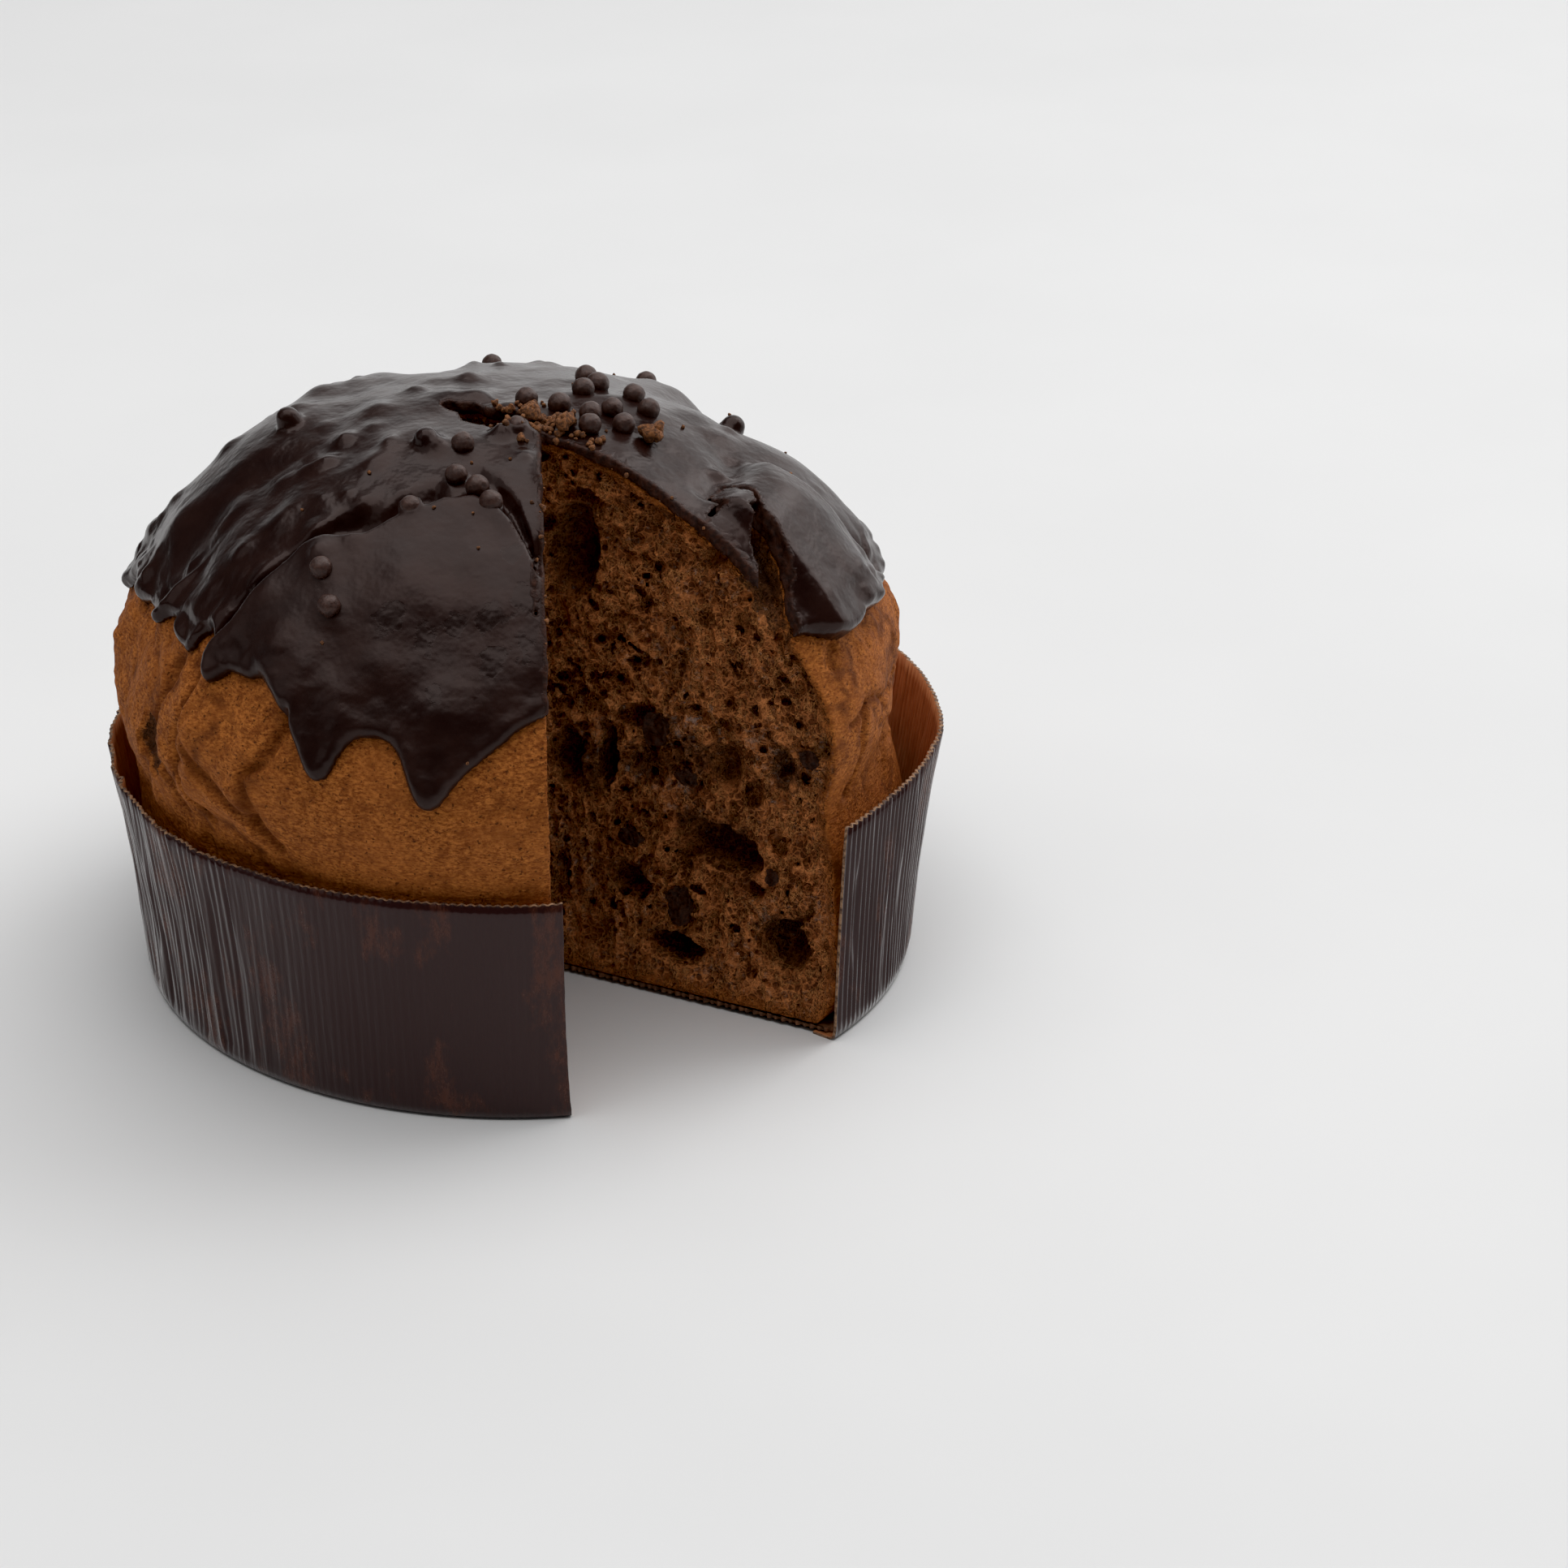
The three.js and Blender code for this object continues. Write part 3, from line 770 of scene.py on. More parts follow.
dough = Finish("baked_dough", Specular_IOR_Level=0.12, Coat_Roughness=0.22)
fibres = dough.grain(0.75, 5, stretch=(1.5, 1.5, 0.8), rough=0.7)
mottle = dough.grain(3.4, 4, shift=8, rough=0.65)
patches = dough.grain(17, 3, shift=8)
wrinkles = dough.grain(2.4, 3, stretch=(1.2, 1.2, 0.45), shift=13, rough=0.6)
pores = dough.grain(0.9, 1, shift=31).rise(0.66, 0.74)
gold = dough.mix(fibres.rise(0.33, 0.66), (0.175, 0.041, 0.007, 1), (0.56, 0.190, 0.040, 1))
for share, colour in (
    (mottle.rise(0.42, 0.66) * 0.6, (0.17, 0.042, 0.007, 1)),
    (patches.rise(0.4, 0.65) * 0.3, (0.42, 0.13, 0.028, 1)),
    (pores * 0.7, (0.06, 0.016, 0.004, 1)),
    # painted shade: darker in the crust's creases and folds
    (dough.attribute("fold") * 0.95, (0.08, 0.017, 0.004, 1)),
):
    gold = dough.mix(share, gold, colour)
soft = dough.grain(1.8, 4, rough=0.64)
walls = dough.cells(1.6)
# The torn crumb's tone: painted shade, darker deep in its pits and inside the fine pores, with
# tone that differs at random on top.
height = (1 - dough.attribute("pit")) * 0.45 + soft * 0.5 + dough.grain(4.6, 3, shift=27) * 0.5
height = height - walls.rise(0.0, 0.25) * 0.3
torn = dough.mix(height.rise(0.24, 0.88), (0.115, 0.033, 0.010, 1), (0.73, 0.268, 0.087, 1))
web = dough.grain(5.5, 4, stretch=(1, 1, 1.6), shift=41, rough=0.6) - 0.5
strands = (1 - web.unsigned() * 2).rise(0.92, 0.99)
red = dough.grain(6, 3, shift=17)
# Moist patches: glossier and coated, and given pale flecks in their colour as a painted sheen.
moist_and_painted_sheen = dough.grain(1.3, 4, shift=5) + dough.grain(14, 2, shift=21) * 0.6
moist_and_painted_sheen = moist_and_painted_sheen.rise(0.86, 1.02)
browned = 1 - dough.attribute("under_crust")
blots = dough.attribute("stain") * 1.1 + dough.grain(2.6, 4, shift=11) * 1.8 - 1.45
for share, colour in (
    (strands * 0.5, (0.78, 0.34, 0.115, 1)),
    (red.rise(0.42, 0.7) * 0.4, (0.28, 0.080, 0.022, 1)),
    # painted sheen: pale flecks on the moist patches
    (moist_and_painted_sheen * 0.22, (0.50, 0.29, 0.16, 1)),
    # painted shade: darker deep in the cavities behind the knife's path
    (dough.attribute("painted_cavity_shade") * 0.7, (0.05, 0.019, 0.009, 1)),
    (browned * 0.8, gold),
    (blots.rise(0, 0.5) * 0.7, (0.032, 0.014, 0.009, 1)),
):
    torn = dough.mix(share, torn, colour)
opened_here = dough.attribute("crumb")
relief = dough.bump(walls.rise(0.0, 0.3) * opened_here * -1, 0.5)
relief = dough.bump(soft * opened_here, 1.0, under=relief)
ridges = fibres * 0.4 + wrinkles * 0.9 - pores * 0.5 + strands * opened_here
dough.feed(
    Base_Color=dough.mix(opened_here, gold, torn),
    Roughness=0.74 - moist_and_painted_sheen * opened_here * 0.44,
    Coat_Weight=moist_and_painted_sheen * opened_here * 0.5,
    Normal=dough.bump(ridges, 0.8, under=relief),
)
for name, quads in parts.items():
    part_piece = piece_of(name, loaf_points, quads, MOST_TRIANGLES, kept=np.nonzero(uses > 1)[0])
    places = places_of(part_piece)
    crumb_front, crumb_cut = knife(places[:, 0], places[:, 1])
    deep = -sample(bread, places)
    opened = smooth(deep, 0.25, 0.9) if name != "loaf_crust" else smooth(deep, 0.9, 1.5)
    note(part_piece, "crumb", opened)
    # Painted shade: how deep behind the knife's path a point lies, which darkens the cavities.
    note(part_piece, "painted_cavity_shade", smooth(-crumb_front, 3.6, 10) * opened)
    note(part_piece, "under_crust", smooth(deep, 0.8, 5))
    # How deep in a pit each point lies, which darkens the crumb's colour as painted shade.
    _, pit = tearing(places, crumb_front, crumb_cut, deep)
    note(part_piece, "pit", pit)
    stain = np.zeros(len(places))
    for cut, along, height, half_along, half_up in STAINS:
        from_apex = (places[:, :2] - APEX) @ cut_ways[cut] - along
        away = (from_apex / half_along) ** 2 + ((places[:, 2] - height) / half_up) ** 2
        stain = np.maximum(stain, np.exp(-away) * (crumb_cut == cut))
    # The crumb is darker too where it lies under an opening in the crust.
    stain = np.maximum(stain, 1.2 * smooth(sample(torn_open, places), 2.2, 0.8))
    note(part_piece, "stain", stain * opened)
    # Painted shade: darker in the creases between the crust's puffs and along its folds, less so at the
    # front.
    folded = 0.7 * smooth(puffed(places), 0.9, 0.15)
    place_bearing, _ = from_middle(places)
    for line, depth, width in FOLDS:
        gone = from_line(place_bearing, places[:, 2], line) / width
        folded = np.maximum(folded, depth / 2.4 * np.exp(-(gone**2)))
    smooth_front = smooth(turn(place_bearing, -92), 24, 36)
    note(part_piece, "fold", folded * (0.25 + 0.75 * smooth_front))
    part_piece.data.materials.append(dough.material)
    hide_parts("loaf")
    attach(part_piece, "root")

# ---- chocolate coating ----
# Dark chocolate poured over the dome while warm: it followed the leaves of crust, ran down in
# thick-edged drips, and set. It is broken at the knife cuts and where the crust beneath it
# opened. Its outside is a second form over the loaf's, and the loaf is taken out of it.
COATING = 3.0
UNDERSIDE = 0.15  # clearance over the crust
BEAD = 2.4  # width over which its edge rounds down
# The lower edge: bearings about the dome's middle, and heights.
COATING_EDGE = [
    (-180, 101), (-176, 100.5), (-172, 99.5), (-169, 102), (-165, 101.5), (-161, 102.5),
    (-158, 102), (-156, 106), (-153, 105.5), (-150.5, 103.5), (-147.5, 102.5), (-145.2, 102.5),
    (-144, 107), (-142, 109.5), (-140, 107.5), (-137.5, 103.5), (-136, 100.5), (-134.6, 99.5),
    (-133.2, 101.5), (-131.7, 103.8), (-128, 103), (-125.5, 104.6), (-122, 101.5), (-118.5, 97),
    (-116.2, 92), (-115, 88.8), (-113.6, 87.4), (-112.2, 87.6), (-111, 89.8), (-110, 94.5),
    (-108.3, 97.3), (-104.8, 98), (-102.4, 96.4), (-100.9, 92), (-99.8, 87), (-98.6, 84.4),
    (-97, 83.8), (-95.4, 85.2), (-94.2, 88.4), (-92.4, 91.5), (-90, 94.4), (-87.3, 97.3),
    (-84.6, 100.3), (-80, 103), (-60, 106), (-38, 107), (-31, 104.5), (-29.5, 103),
    (-27.8, 101.5), (-25, 100), (-21, 99.5),
    (-18, 100.5), (-14, 100), (-11.4, 98.6), (-8, 100), (-4, 99.5), (0, 98), (4, 97), (8, 101),
    (15, 101), (21, 95), (25, 101), (36, 103), (41, 95), (45, 89), (49, 96), (55, 103), (61, 101),
    (66, 96), (72, 102), (79, 99), (84, 88), (87, 86), (90, 91), (96, 101), (102, 99), (108, 95),
    (115, 102), (123, 100), (129, 90), (132, 88), (135, 93), (141, 102), (150, 97), (157, 103),
    (165, 101), (171, 93), (174, 92), (177, 97), (180, 101),
]  # fmt: skip
# Lumps under the coating: bearing about the dome's middle, distance from it, width and height.
LUMPS = [
    (-152, 46, 3, 1.6), (-155, 49, 2.5, 0.9), (-140, 32, 2.2, 0.9), (-84.5, 20.4, 2.5, 3),
    (-144, 60, 4, 1.3), (-146, 69, 3, 1.3), (-142, 72, 2.4, 0.9), (-147, 78, 4, 1.2),
    (-157, 80, 3, 1.2), (-136, 71, 3.5, 1.1), (-140, 79, 3, 0.9), (-129, 60.7, 4.2, 2.8),
    (-124, 64.6, 2.6, 2.2), (-119, 51, 3, 1.2), (-111, 46, 3, 1), (-118, 28, 2.6, 2.4),
    (-66, 22, 2.3, 2.2), (-163, 64, 4, 1.1), (-75, 30, 2.4, 1), (-71, 40, 3, 1.2),
    (-16, 55.4, 2.4, 2.4), (-20, 58, 2.2, 1.4), (-11, 62, 8, 1.4), (-12, 74, 9, 1),
    (-119, 85, 6, 1.6), (-108, 72, 8, 1.2), (-124, 80, 4, 1.2), (-104, 58, 7, 0.9),
    (-92, 60, 4, 0.9), (-102, 66, 6, 1), (-88, 71, 4, 0.8), (40, 58, 4, 1.4), (84, 62, 3, 1.6),
    (118, 66, 4, 1.8), (146, 70, 3, 1.4), (165, 50, 3, 1.2), (100, 80, 3, 1.2), (62, 84, 3, 1),
    (160, 13, 5, 2.2), (150, 6, 4, 2.2), (-60, 5, 4, 1.4), (168, 66, 3, 1.2),
]  # fmt: skip
# Where the packing scraped the sheen off: bearing about the dome's middle, distance, and size.
SCRAPES = [
    (-105.5, 77.6, 4.5), (-99.5, 79, 4), (-94.5, 77.2, 4.5), (-89, 75.5, 4.5), (-88, 82, 4.5),
    (-82.5, 81, 4.5), (-81.5, 71.4, 4.5), (-84, 63, 3.5), (-80, 58, 3), (-97, 88, 2.5),
]  # fmt: skip
# Pearls that the coating ran over, as the share of their height that it hides.
RUN_OVER = {
    "pearl_12": 0.75, "pearl_16": 0.5, "pearl_19": 1, "pearl_20": 0.7, "pearl_21": 1, "pearl_22": 1,
}  # fmt: skip
edge_bearings, edge_heights = np.array(COATING_EDGE).T
fine_bearings = np.arange(-200, 200, 0.25)
fine_edge = np.interp((fine_bearings + 180) % 360 - 180, edge_bearings, edge_heights)
kernel = np.exp(-((np.arange(-12, 13) * 0.25 / 0.9) ** 2))
fine_edge = np.convolve(fine_edge, kernel / kernel.sum(), mode="same")
upper = outline[:, 1] > BULGE_HEIGHT
edge_reach = np.interp(-fine_edge, -outline[upper, 1], reach_along[upper])
edge_slope = np.gradient(edge_reach, fine_bearings * math.radians(92))
broad_kernel = np.exp(-((np.arange(-60, 61) * 0.25 / 7) ** 2))
broad_edge = np.convolve(fine_edge, broad_kernel / broad_kernel.sum(), mode="same")
above_edge = np.interp(BEARING, fine_bearings, edge_reach) - REACH
above_edge /= np.sqrt(1 + np.interp(BEARING, fine_bearings, edge_slope) ** 2)
drip = np.interp(BEARING, fine_bearings, smooth(broad_edge - fine_edge, 1, 8))

spread = np.stack([BEARING * math.radians(80), REACH, 0 * REACH], axis=-1)
flowing = smooth(turn(BEARING, -163), 38, 20) * smooth(REACH, 40, 75)
flowing = np.maximum(flowing, 0.5 * smooth(turn(BEARING, 110), 70, 40) * smooth(REACH, 60, 85))
flowing *= smooth(-above_edge, -17, -5)
thick = COATING + 0.5 * Noise(31)(still_points, 16) + 0.3 * Noise(32)(still_points, 7)
runs = 1.3 * np.maximum(0, Noise(33)(spread, (4.4, 15, 1))) + 0.4 * Noise(34)(spread, (6, 9, 1))
thick += flowing * runs
wavy = 0.85 + 0.15 * smooth(turn(BEARING, -100), 18, 36)
thick += wavy * (0.8 * Noise(36)(still_points, 13) + 0.15 * Noise(37)(still_points, 5.5))
thick += 0.9 * drip * np.exp(-(((above_edge - 3.5) / 4) ** 2))
thick += 0.35 * np.exp(-(((above_edge - 2.2) / 2) ** 2))
random = np.random.default_rng(35)
lumps = list(LUMPS)
for first, last, count in ((-260, -114, 46), (-4, 95, 16), (-104, -70, 3)):
    for _ in range(count):
        at = random.uniform(first, last), random.uniform(20, 88)
        lumps.append((*at, random.uniform(1.6, 4), random.uniform(0.3, 1.3)))
for bearing, radius, width, height in lumps:
    away = np.hypot((turn(BEARING, bearing)) * np.radians(radius), RADIUS - radius)
    thick += height * np.exp(-((away / width) ** 2))
across = 1 - smooth(turn(BEARING, -17), 10, 14)
thick += across * (3.8 * smooth(RADIUS, 57, 62) - 1.3 * np.exp(-(((RADIUS - 56) / 2.5) ** 2)))
SKIN = 0.35  # of coating over a pearl that it ran over
towards_east, towards_north = np.cos(np.radians(BEARING)), np.sin(np.radians(BEARING))
facing = np.stack([OUT_RADIUS * towards_east, OUT_RADIUS * towards_north, OUT_HEIGHT], axis=-1)
for name, place in zip(pearl_nodes, pearl_places):
    to_pearl = place - bread_points
    lifted = (to_pearl * facing).sum(axis=-1)
    beside = np.linalg.norm(to_pearl - lifted[..., None] * facing, axis=-1)
    beside = np.where(np.abs(lifted) < 15, beside, 99)
    thick += 0.8 * np.exp(-((beside / (pearl_radius + 1.1)) ** 2))
    if name in RUN_OVER:
        over = np.sqrt(np.maximum(0, (pearl_radius + SKIN) ** 2 - beside**2))
        over = np.minimum(over, (2 * RUN_OVER[name] - 1) * pearl_radius + SKIN)
        thick = np.where(beside < pearl_radius + SKIN, np.maximum(thick, lifted + over), thick)
rounded = np.sqrt(np.clip(1 - (1 - np.clip(above_edge / BEAD, 0, 1)) ** 2, 0, 1))
coat_out = np.where(above_edge > 0, bread_out + thick * rounded, bread_out - 3)
coating_field = field_of(form_points(coat_out))

shell = np.nonzero((coating_field < 2) & (bread > -2) & (np.abs(front) < 4)[..., None])
shell_spots = spots_of(shell)
coat_front = front[..., None] + np.zeros(grid_count, np.float32)
coat_front[shell] += 0.5 * Noise(43)(shell_spots, 5) + 0.35 * Noise(44)(shell_spots, 1.8) - 0.1
coating_field = np.maximum(coating_field, UNDERSIDE - bread)
coating_field = np.maximum(coating_field, coat_front)
coating_field = np.maximum(coating_field, -torn_open)
coating = piece_of("chocolate_coating", *surface_of(coating_field), MOST_TRIANGLES)
places = places_of(coating)
coat_front, _ = knife(places[:, 0], places[:, 1])
over_bread = sample(bread, places)
broken = smooth(coat_front, -1.1, -0.5) + smooth(sample(torn_open, places), 0.5, 0.15)
note(coating, "broken", broken)
middle_bearing, middle_distance = from_middle(places)
scuffed = np.zeros(len(places))
for bearing, radius, size in SCRAPES:
    away = np.hypot((middle_bearing - bearing) * math.radians(radius), middle_distance - radius)
    scuffed = np.maximum(scuffed, np.exp(-((away / size) ** 2)))
note(coating, "scuffed", scuffed)
note(coating, "matt", smooth(front_leaf(middle_bearing, middle_distance), -1, 5))

tint = (1.0, 0.80, 0.75, 1)
chocolate = Finish("dark_coating", IOR=1.45, Specular_IOR_Level=0.34, Specular_Tint=tint)
cloud = chocolate.grain(9, 3)
scratches = chocolate.grain(2.2, 4, shift=2)
dark, pale = (0.0115, 0.0040, 0.0032, 1), (0.020, 0.0077, 0.0058, 1)
cocoa = chocolate.mix(cloud.rise(0.3, 0.7), dark, pale)
ragged = chocolate.grain(6.4, 5, shift=2, rough=0.62)
scraped = (chocolate.attribute("scuffed") * 0.75 + ragged * 1.6 - 1.26).rise(0, 0.16)
cocoa = chocolate.mix(scraped * 0.85, cocoa, (0.0080, 0.0026, 0.0019, 1))
snapped = chocolate.attribute("broken")
flakes = chocolate.grain(1.6, 3, shift=4)
dark, pale = (0.016, 0.006, 0.004, 1), (0.046, 0.015, 0.008, 1)
inner = chocolate.mix(flakes.rise(0.35, 0.65), dark, pale)
dull = chocolate.attribute("matt") * (1 - scraped)
ripple = chocolate.bump(chocolate.grain(4.5, 2, shift=6), 0.35)
chocolate.feed(
    Base_Color=chocolate.mix(snapped, cocoa, inner),
    Roughness=0.18 + cloud * 0.12 + dull * (scratches * 0.12 + 0.05) + snapped * 0.35,
    Normal=chocolate.bump(flakes * snapped + scratches * dull * 0.1, 0.6, under=ripple),
)
coating.data.materials.append(chocolate.material)
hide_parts("chocolate_coating")
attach(coating, "root")

# ---- crisp pearls ----
# Puffed cereal balls in chocolate, dropped on the coating before it set, so each sits in a
# small collar of it. One round shape, made slightly uneven, stands at each pearl's place.


class Pattern(Graph):
    """A Geometry Nodes tree with named inputs, which makes a piece from loose points."""

    def __init__(self, name, **inputs):
        self.tree = bpy.data.node_groups.new(name, "GeometryNodeTree")
        self.tree.interface.new_socket("Geometry", in_out="INPUT", socket_type="NodeSocketGeometry")
        self.tree.interface.new_socket("Geometry", in_out="OUTPUT", socket_type="NodeSocketGeometry")
        self.defaults = inputs
        for socket, value in inputs.items():
            kind = "NodeSocketInt" if isinstance(value, int) else "NodeSocketFloat"
            self.tree.interface.new_socket(socket, in_out="INPUT", socket_type=kind)
        self.entry = self.tree.nodes.new("NodeGroupInput")
        self.exit = self.tree.nodes.new("NodeGroupOutput")
        self.points = Value(self, self.entry.outputs[0])

    def given(self, name):
        return Value(self, self.entry.outputs[name])

    def vector(self, x, y, z):
        return self.node("ShaderNodeCombineXYZ", None, {0: x, 1: y, 2: z})

    def part(self, vector, axis):
        return self.node("ShaderNodeSeparateXYZ", None, {0: vector}, output=axis)

    def any_turn(self):
        """A turn of its own for each copy."""
        ends = {0: (0.0, 0.0, 0.0), 1: (6.283, 6.283, 6.283), "Seed": self.given("Seed")}
        return self.node("FunctionNodeRandomValue", {"data_type": "FLOAT_VECTOR"}, ends)

    def noise(self, place, size, detail=2.0):
        values = {"Vector": place, "Scale": 1 / (size * MM), "Detail": detail}
        return self.node("ShaderNodeTexNoise", None, values)

    def made(self, name, geometry, finish, points=((0, 0, 0),), **values):
        """An object with the tree on loose points, each with its own values."""
        geometry = self.node("GeometryNodeRealizeInstances", None, {0: geometry})
        values_given = {0: geometry, "Material": finish.material}
        geometry = self.node("GeometryNodeSetMaterial", None, values_given)
        self.tree.links.new(geometry.socket, self.exit.inputs[0])
        mesh = bpy.data.meshes.new(name)
        mesh.from_pydata([tuple(p) for p in points], [], [])
        for value, list_of in values.items():
            mesh.attributes.new(value, "FLOAT", "POINT").data.foreach_set("value", list_of)
        piece = placed(name, mesh)
        grower = piece.modifiers.new("pattern", "NODES")
        grower.node_group = self.tree
        for item in self.tree.interface.items_tree:
            if item.in_out == "INPUT" and item.name in self.defaults:
                grower[item.identifier] = self.defaults[item.name]
        return piece


pearl_finish = Finish("pearl_chocolate", Specular_Tint=(1.0, 0.84, 0.80, 1))
dust = pearl_finish.grain(1.1, 3)
dark, pale = (0.030, 0.0125, 0.0090, 1), (0.056, 0.0240, 0.0165, 1)
pearl_finish.feed(
    Base_Color=pearl_finish.mix(dust.rise(0.35, 0.7), dark, pale),
    Roughness=0.34 + dust * 0.2,
    Normal=pearl_finish.bump(dust, 0.25),
)
pearls = Pattern("pearls", Radius=pearl_radius * MM, Unevenness=0.05, Seed=5)
values = {"Radius": pearls.given("Radius"), "Subdivisions": 4}
ball = pearls.node("GeometryNodeMeshIcoSphere", None, values)
least, most = 1 - pearls.given("Unevenness"), 1 + pearls.given("Unevenness")
values = {2: least, 3: most, "Seed": pearls.given("Seed")}
grown = pearls.node("FunctionNodeRandomValue", {"data_type": "FLOAT"}, values, output=1)
values = {"Points": pearls.points, "Instance": ball, "Rotation": pearls.any_turn(), "Scale": grown}
standing = pearls.node("GeometryNodeInstanceOnPoints", None, values)
standing = pearls.node("GeometryNodeRealizeInstances", None, {0: standing})
spot = pearls.node("GeometryNodeInputPosition")
outward = pearls.node("GeometryNodeInputNormal")
wobble = (pearls.noise(spot, 2.4) - 0.5) * pearls.given("Radius") * pearls.given("Unevenness") * 4
values = {"Geometry": standing, "Offset": pearls.scaled(outward, wobble)}
standing = pearls.node("GeometryNodeSetPosition", None, values)
clear = sample(coating_field, pearl_places)
raised = pearl_places - (*LEAN, 30)
raised /= np.linalg.norm(raised, axis=-1)[:, None]
covered = np.array([RUN_OVER.get(name, 0) >= 0.7 for name in pearl_nodes])
raised *= np.where(covered, 0, np.clip(0.2 * pearl_radius - clear, 0, 2))[:, None]
standing_at = in_metres(pearl_places + raised)
pearl_piece = settled(pearls.made("pearls", standing, pearl_finish, standing_at))
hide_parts(*pearl_nodes)
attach(pearl_piece, "root")

# ---- chocolate chunks ----
# Pieces of dark chocolate baked into the dough, which the knife went through. Each is a lump
# cut off flat a little behind the knife's path.
chunk_finish = Finish("dark_chunk", Specular_IOR_Level=0.25, Specular_Tint=(1.0, 0.80, 0.72, 1))
crystals = chunk_finish.grain(0.9, 4)
dark, pale = (0.014, 0.0055, 0.0035, 1), (0.060, 0.021, 0.010, 1)
chunk_finish.feed(
    Base_Color=chunk_finish.mix(crystals.rise(0.3, 0.75), dark, pale),
    Roughness=0.42 + crystals * 0.3,
    Normal=chunk_finish.bump(crystals, 0.7),
)
for name in sorted(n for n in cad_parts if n.startswith("chocolate_chunk")):
    low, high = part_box(name)
    shape = bpy.data.meshes.new(name + "_piece")
    chunk = placed(name + "_piece", shape)
    worker = bmesh.new()
    bmesh.ops.create_icosphere(worker, subdivisions=5, radius=1)
    worker.to_mesh(shape)
    worker.free()
    ways = np.empty(3 * len(shape.vertices), np.float32)
    shape.vertices.foreach_get("co", ways)
    ways = ways.reshape(-1, 3)
    middle = np.array((low + high) / 2) / MM - AXIS
    half = np.array(high - low) / 2 / MM
    uneven = 1 + 0.34 * Noise(51)(ways + middle, 0.7) + 0.2 * Noise(52)(ways + middle, 0.28)
    lump = middle + ways * uneven[:, None] * half.clip(1.6) * 1.05
    ahead, near_cut = knife(lump[:, 0], lump[:, 1])
    back = np.maximum(0, ahead + 1.6 + 0.9 * Noise(53)(lump, 3) + 0.4 * Noise(54)(lump, 1.2))
    lump[:, :2] -= back[:, None] * np.array(cut_outs)[near_cut]
    shape.vertices.foreach_set("co", in_metres(lump).astype(np.float32).ravel())
    shape.materials.append(chunk_finish.material)
    shape.shade_smooth()
    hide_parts(name)
    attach(chunk, "root")

# ---- loose crumbs ----
# Bits of crumb that the knife left on the coating: a heap where the two cuts meet, three
# larger ones, and a few specks further off. Three torn shapes are strewn on given places.
crumb_finish = Finish("baked_crumb", Roughness=0.8)
fluff = crumb_finish.grain(0.8, 4)
dark, pale = (0.06, 0.019, 0.005, 1), (0.30, 0.11, 0.03, 1)
crumb_finish.feed(
    Base_Color=crumb_finish.mix(fluff.rise(0.3, 0.7), dark, pale),
    Normal=crumb_finish.bump(fluff, 0.6),
)
random = np.random.default_rng(61)
crumb_nodes = sorted(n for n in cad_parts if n.startswith("crumb"))
strewn = []
for name in crumb_nodes:
    low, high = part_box(name)
    middle = np.array((low + high) / 2) / MM - AXIS
    for _ in range(9):
        spot = middle + random.normal(0, 1.1, 3) * (1, 1, 0.5) - (0, 0, 1)
        strewn.append((*spot, random.uniform(0.9, 1.7)))
coating_tops = places[over_bread > 1.5]
# Where crumbs lie: the middle of a patch, how far they spread from it, and how many there are.
STREWN = [
    ((4, -16), 3.2, 60), ((10, -19), 5, 60), ((22, -27), 5, 14), ((0, -34), 14, 10),
    ((-40, -60), 30, 7), ((30, 10), 30, 8),
]  # fmt: skip
for centre, spread_by, count in STREWN:
    for _ in range(count):
        flat = np.array(centre) + random.normal(0, spread_by, 2)
        if knife(*flat)[0] > -0.6:
            continue
        near = np.argmin(np.hypot(*(coating_tops[:, :2] - flat).T) - 0.02 * coating_tops[:, 2])
        size = random.uniform(0.3, 1.0 if spread_by < 10 else 0.45)
        strewn.append((*coating_tops[near] + (0, 0, size * 0.5), size))
edge_tops = places[(coat_front > -1.1) & (over_bread > 1.2)]
for spot in edge_tops[random.choice(len(edge_tops), 30, replace=False)]:
    strewn.append((*spot + random.normal(0, 0.45, 3), min(0.12 + 0.22 * random.exponential(), 0.7)))
strewn = np.array(strewn)
crumbs = Pattern("crumbs", Torn=0.5, Seed=9)
shapes = []
for kind in range(3):
    bit = crumbs.node("GeometryNodeMeshIcoSphere", None, {"Radius": MM, "Subdivisions": 2})
    spot = crumbs.node("GeometryNodeInputPosition")
    shifted = crumbs.moved(spot, (kind * 0.1, 0.0, 0.0))
    out = (crumbs.noise(shifted, 0.9, 3.0) - 0.45) * crumbs.given("Torn") * 5
    values = {"Geometry": bit, "Offset": crumbs.scaled(spot, out)}
    bit = crumbs.node("GeometryNodeSetPosition", None, values)
    shapes.append(bit)
kinds = crumbs.tree.nodes.new("GeometryNodeGeometryToInstance")
for bit in shapes:
    crumbs.tree.links.new(bit.socket, kinds.inputs[0])
each = crumbs.node("GeometryNodeInputNamedAttribute", {"data_type": "FLOAT"}, {"Name": "size"})
values = {
    "Points": crumbs.points, "Instance": Value(crumbs, kinds.outputs[0]),
    "Pick Instance": True, "Rotation": crumbs.any_turn(), "Scale": each,
}  # fmt: skip
heap = crumbs.node("GeometryNodeInstanceOnPoints", None, values)
lying = in_metres(strewn[:, :3])
crumb_piece = settled(crumbs.made("crumbs", heap, crumb_finish, lying, size=strewn[:, 3]))
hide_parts(*crumb_nodes)
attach(crumb_piece, "root")

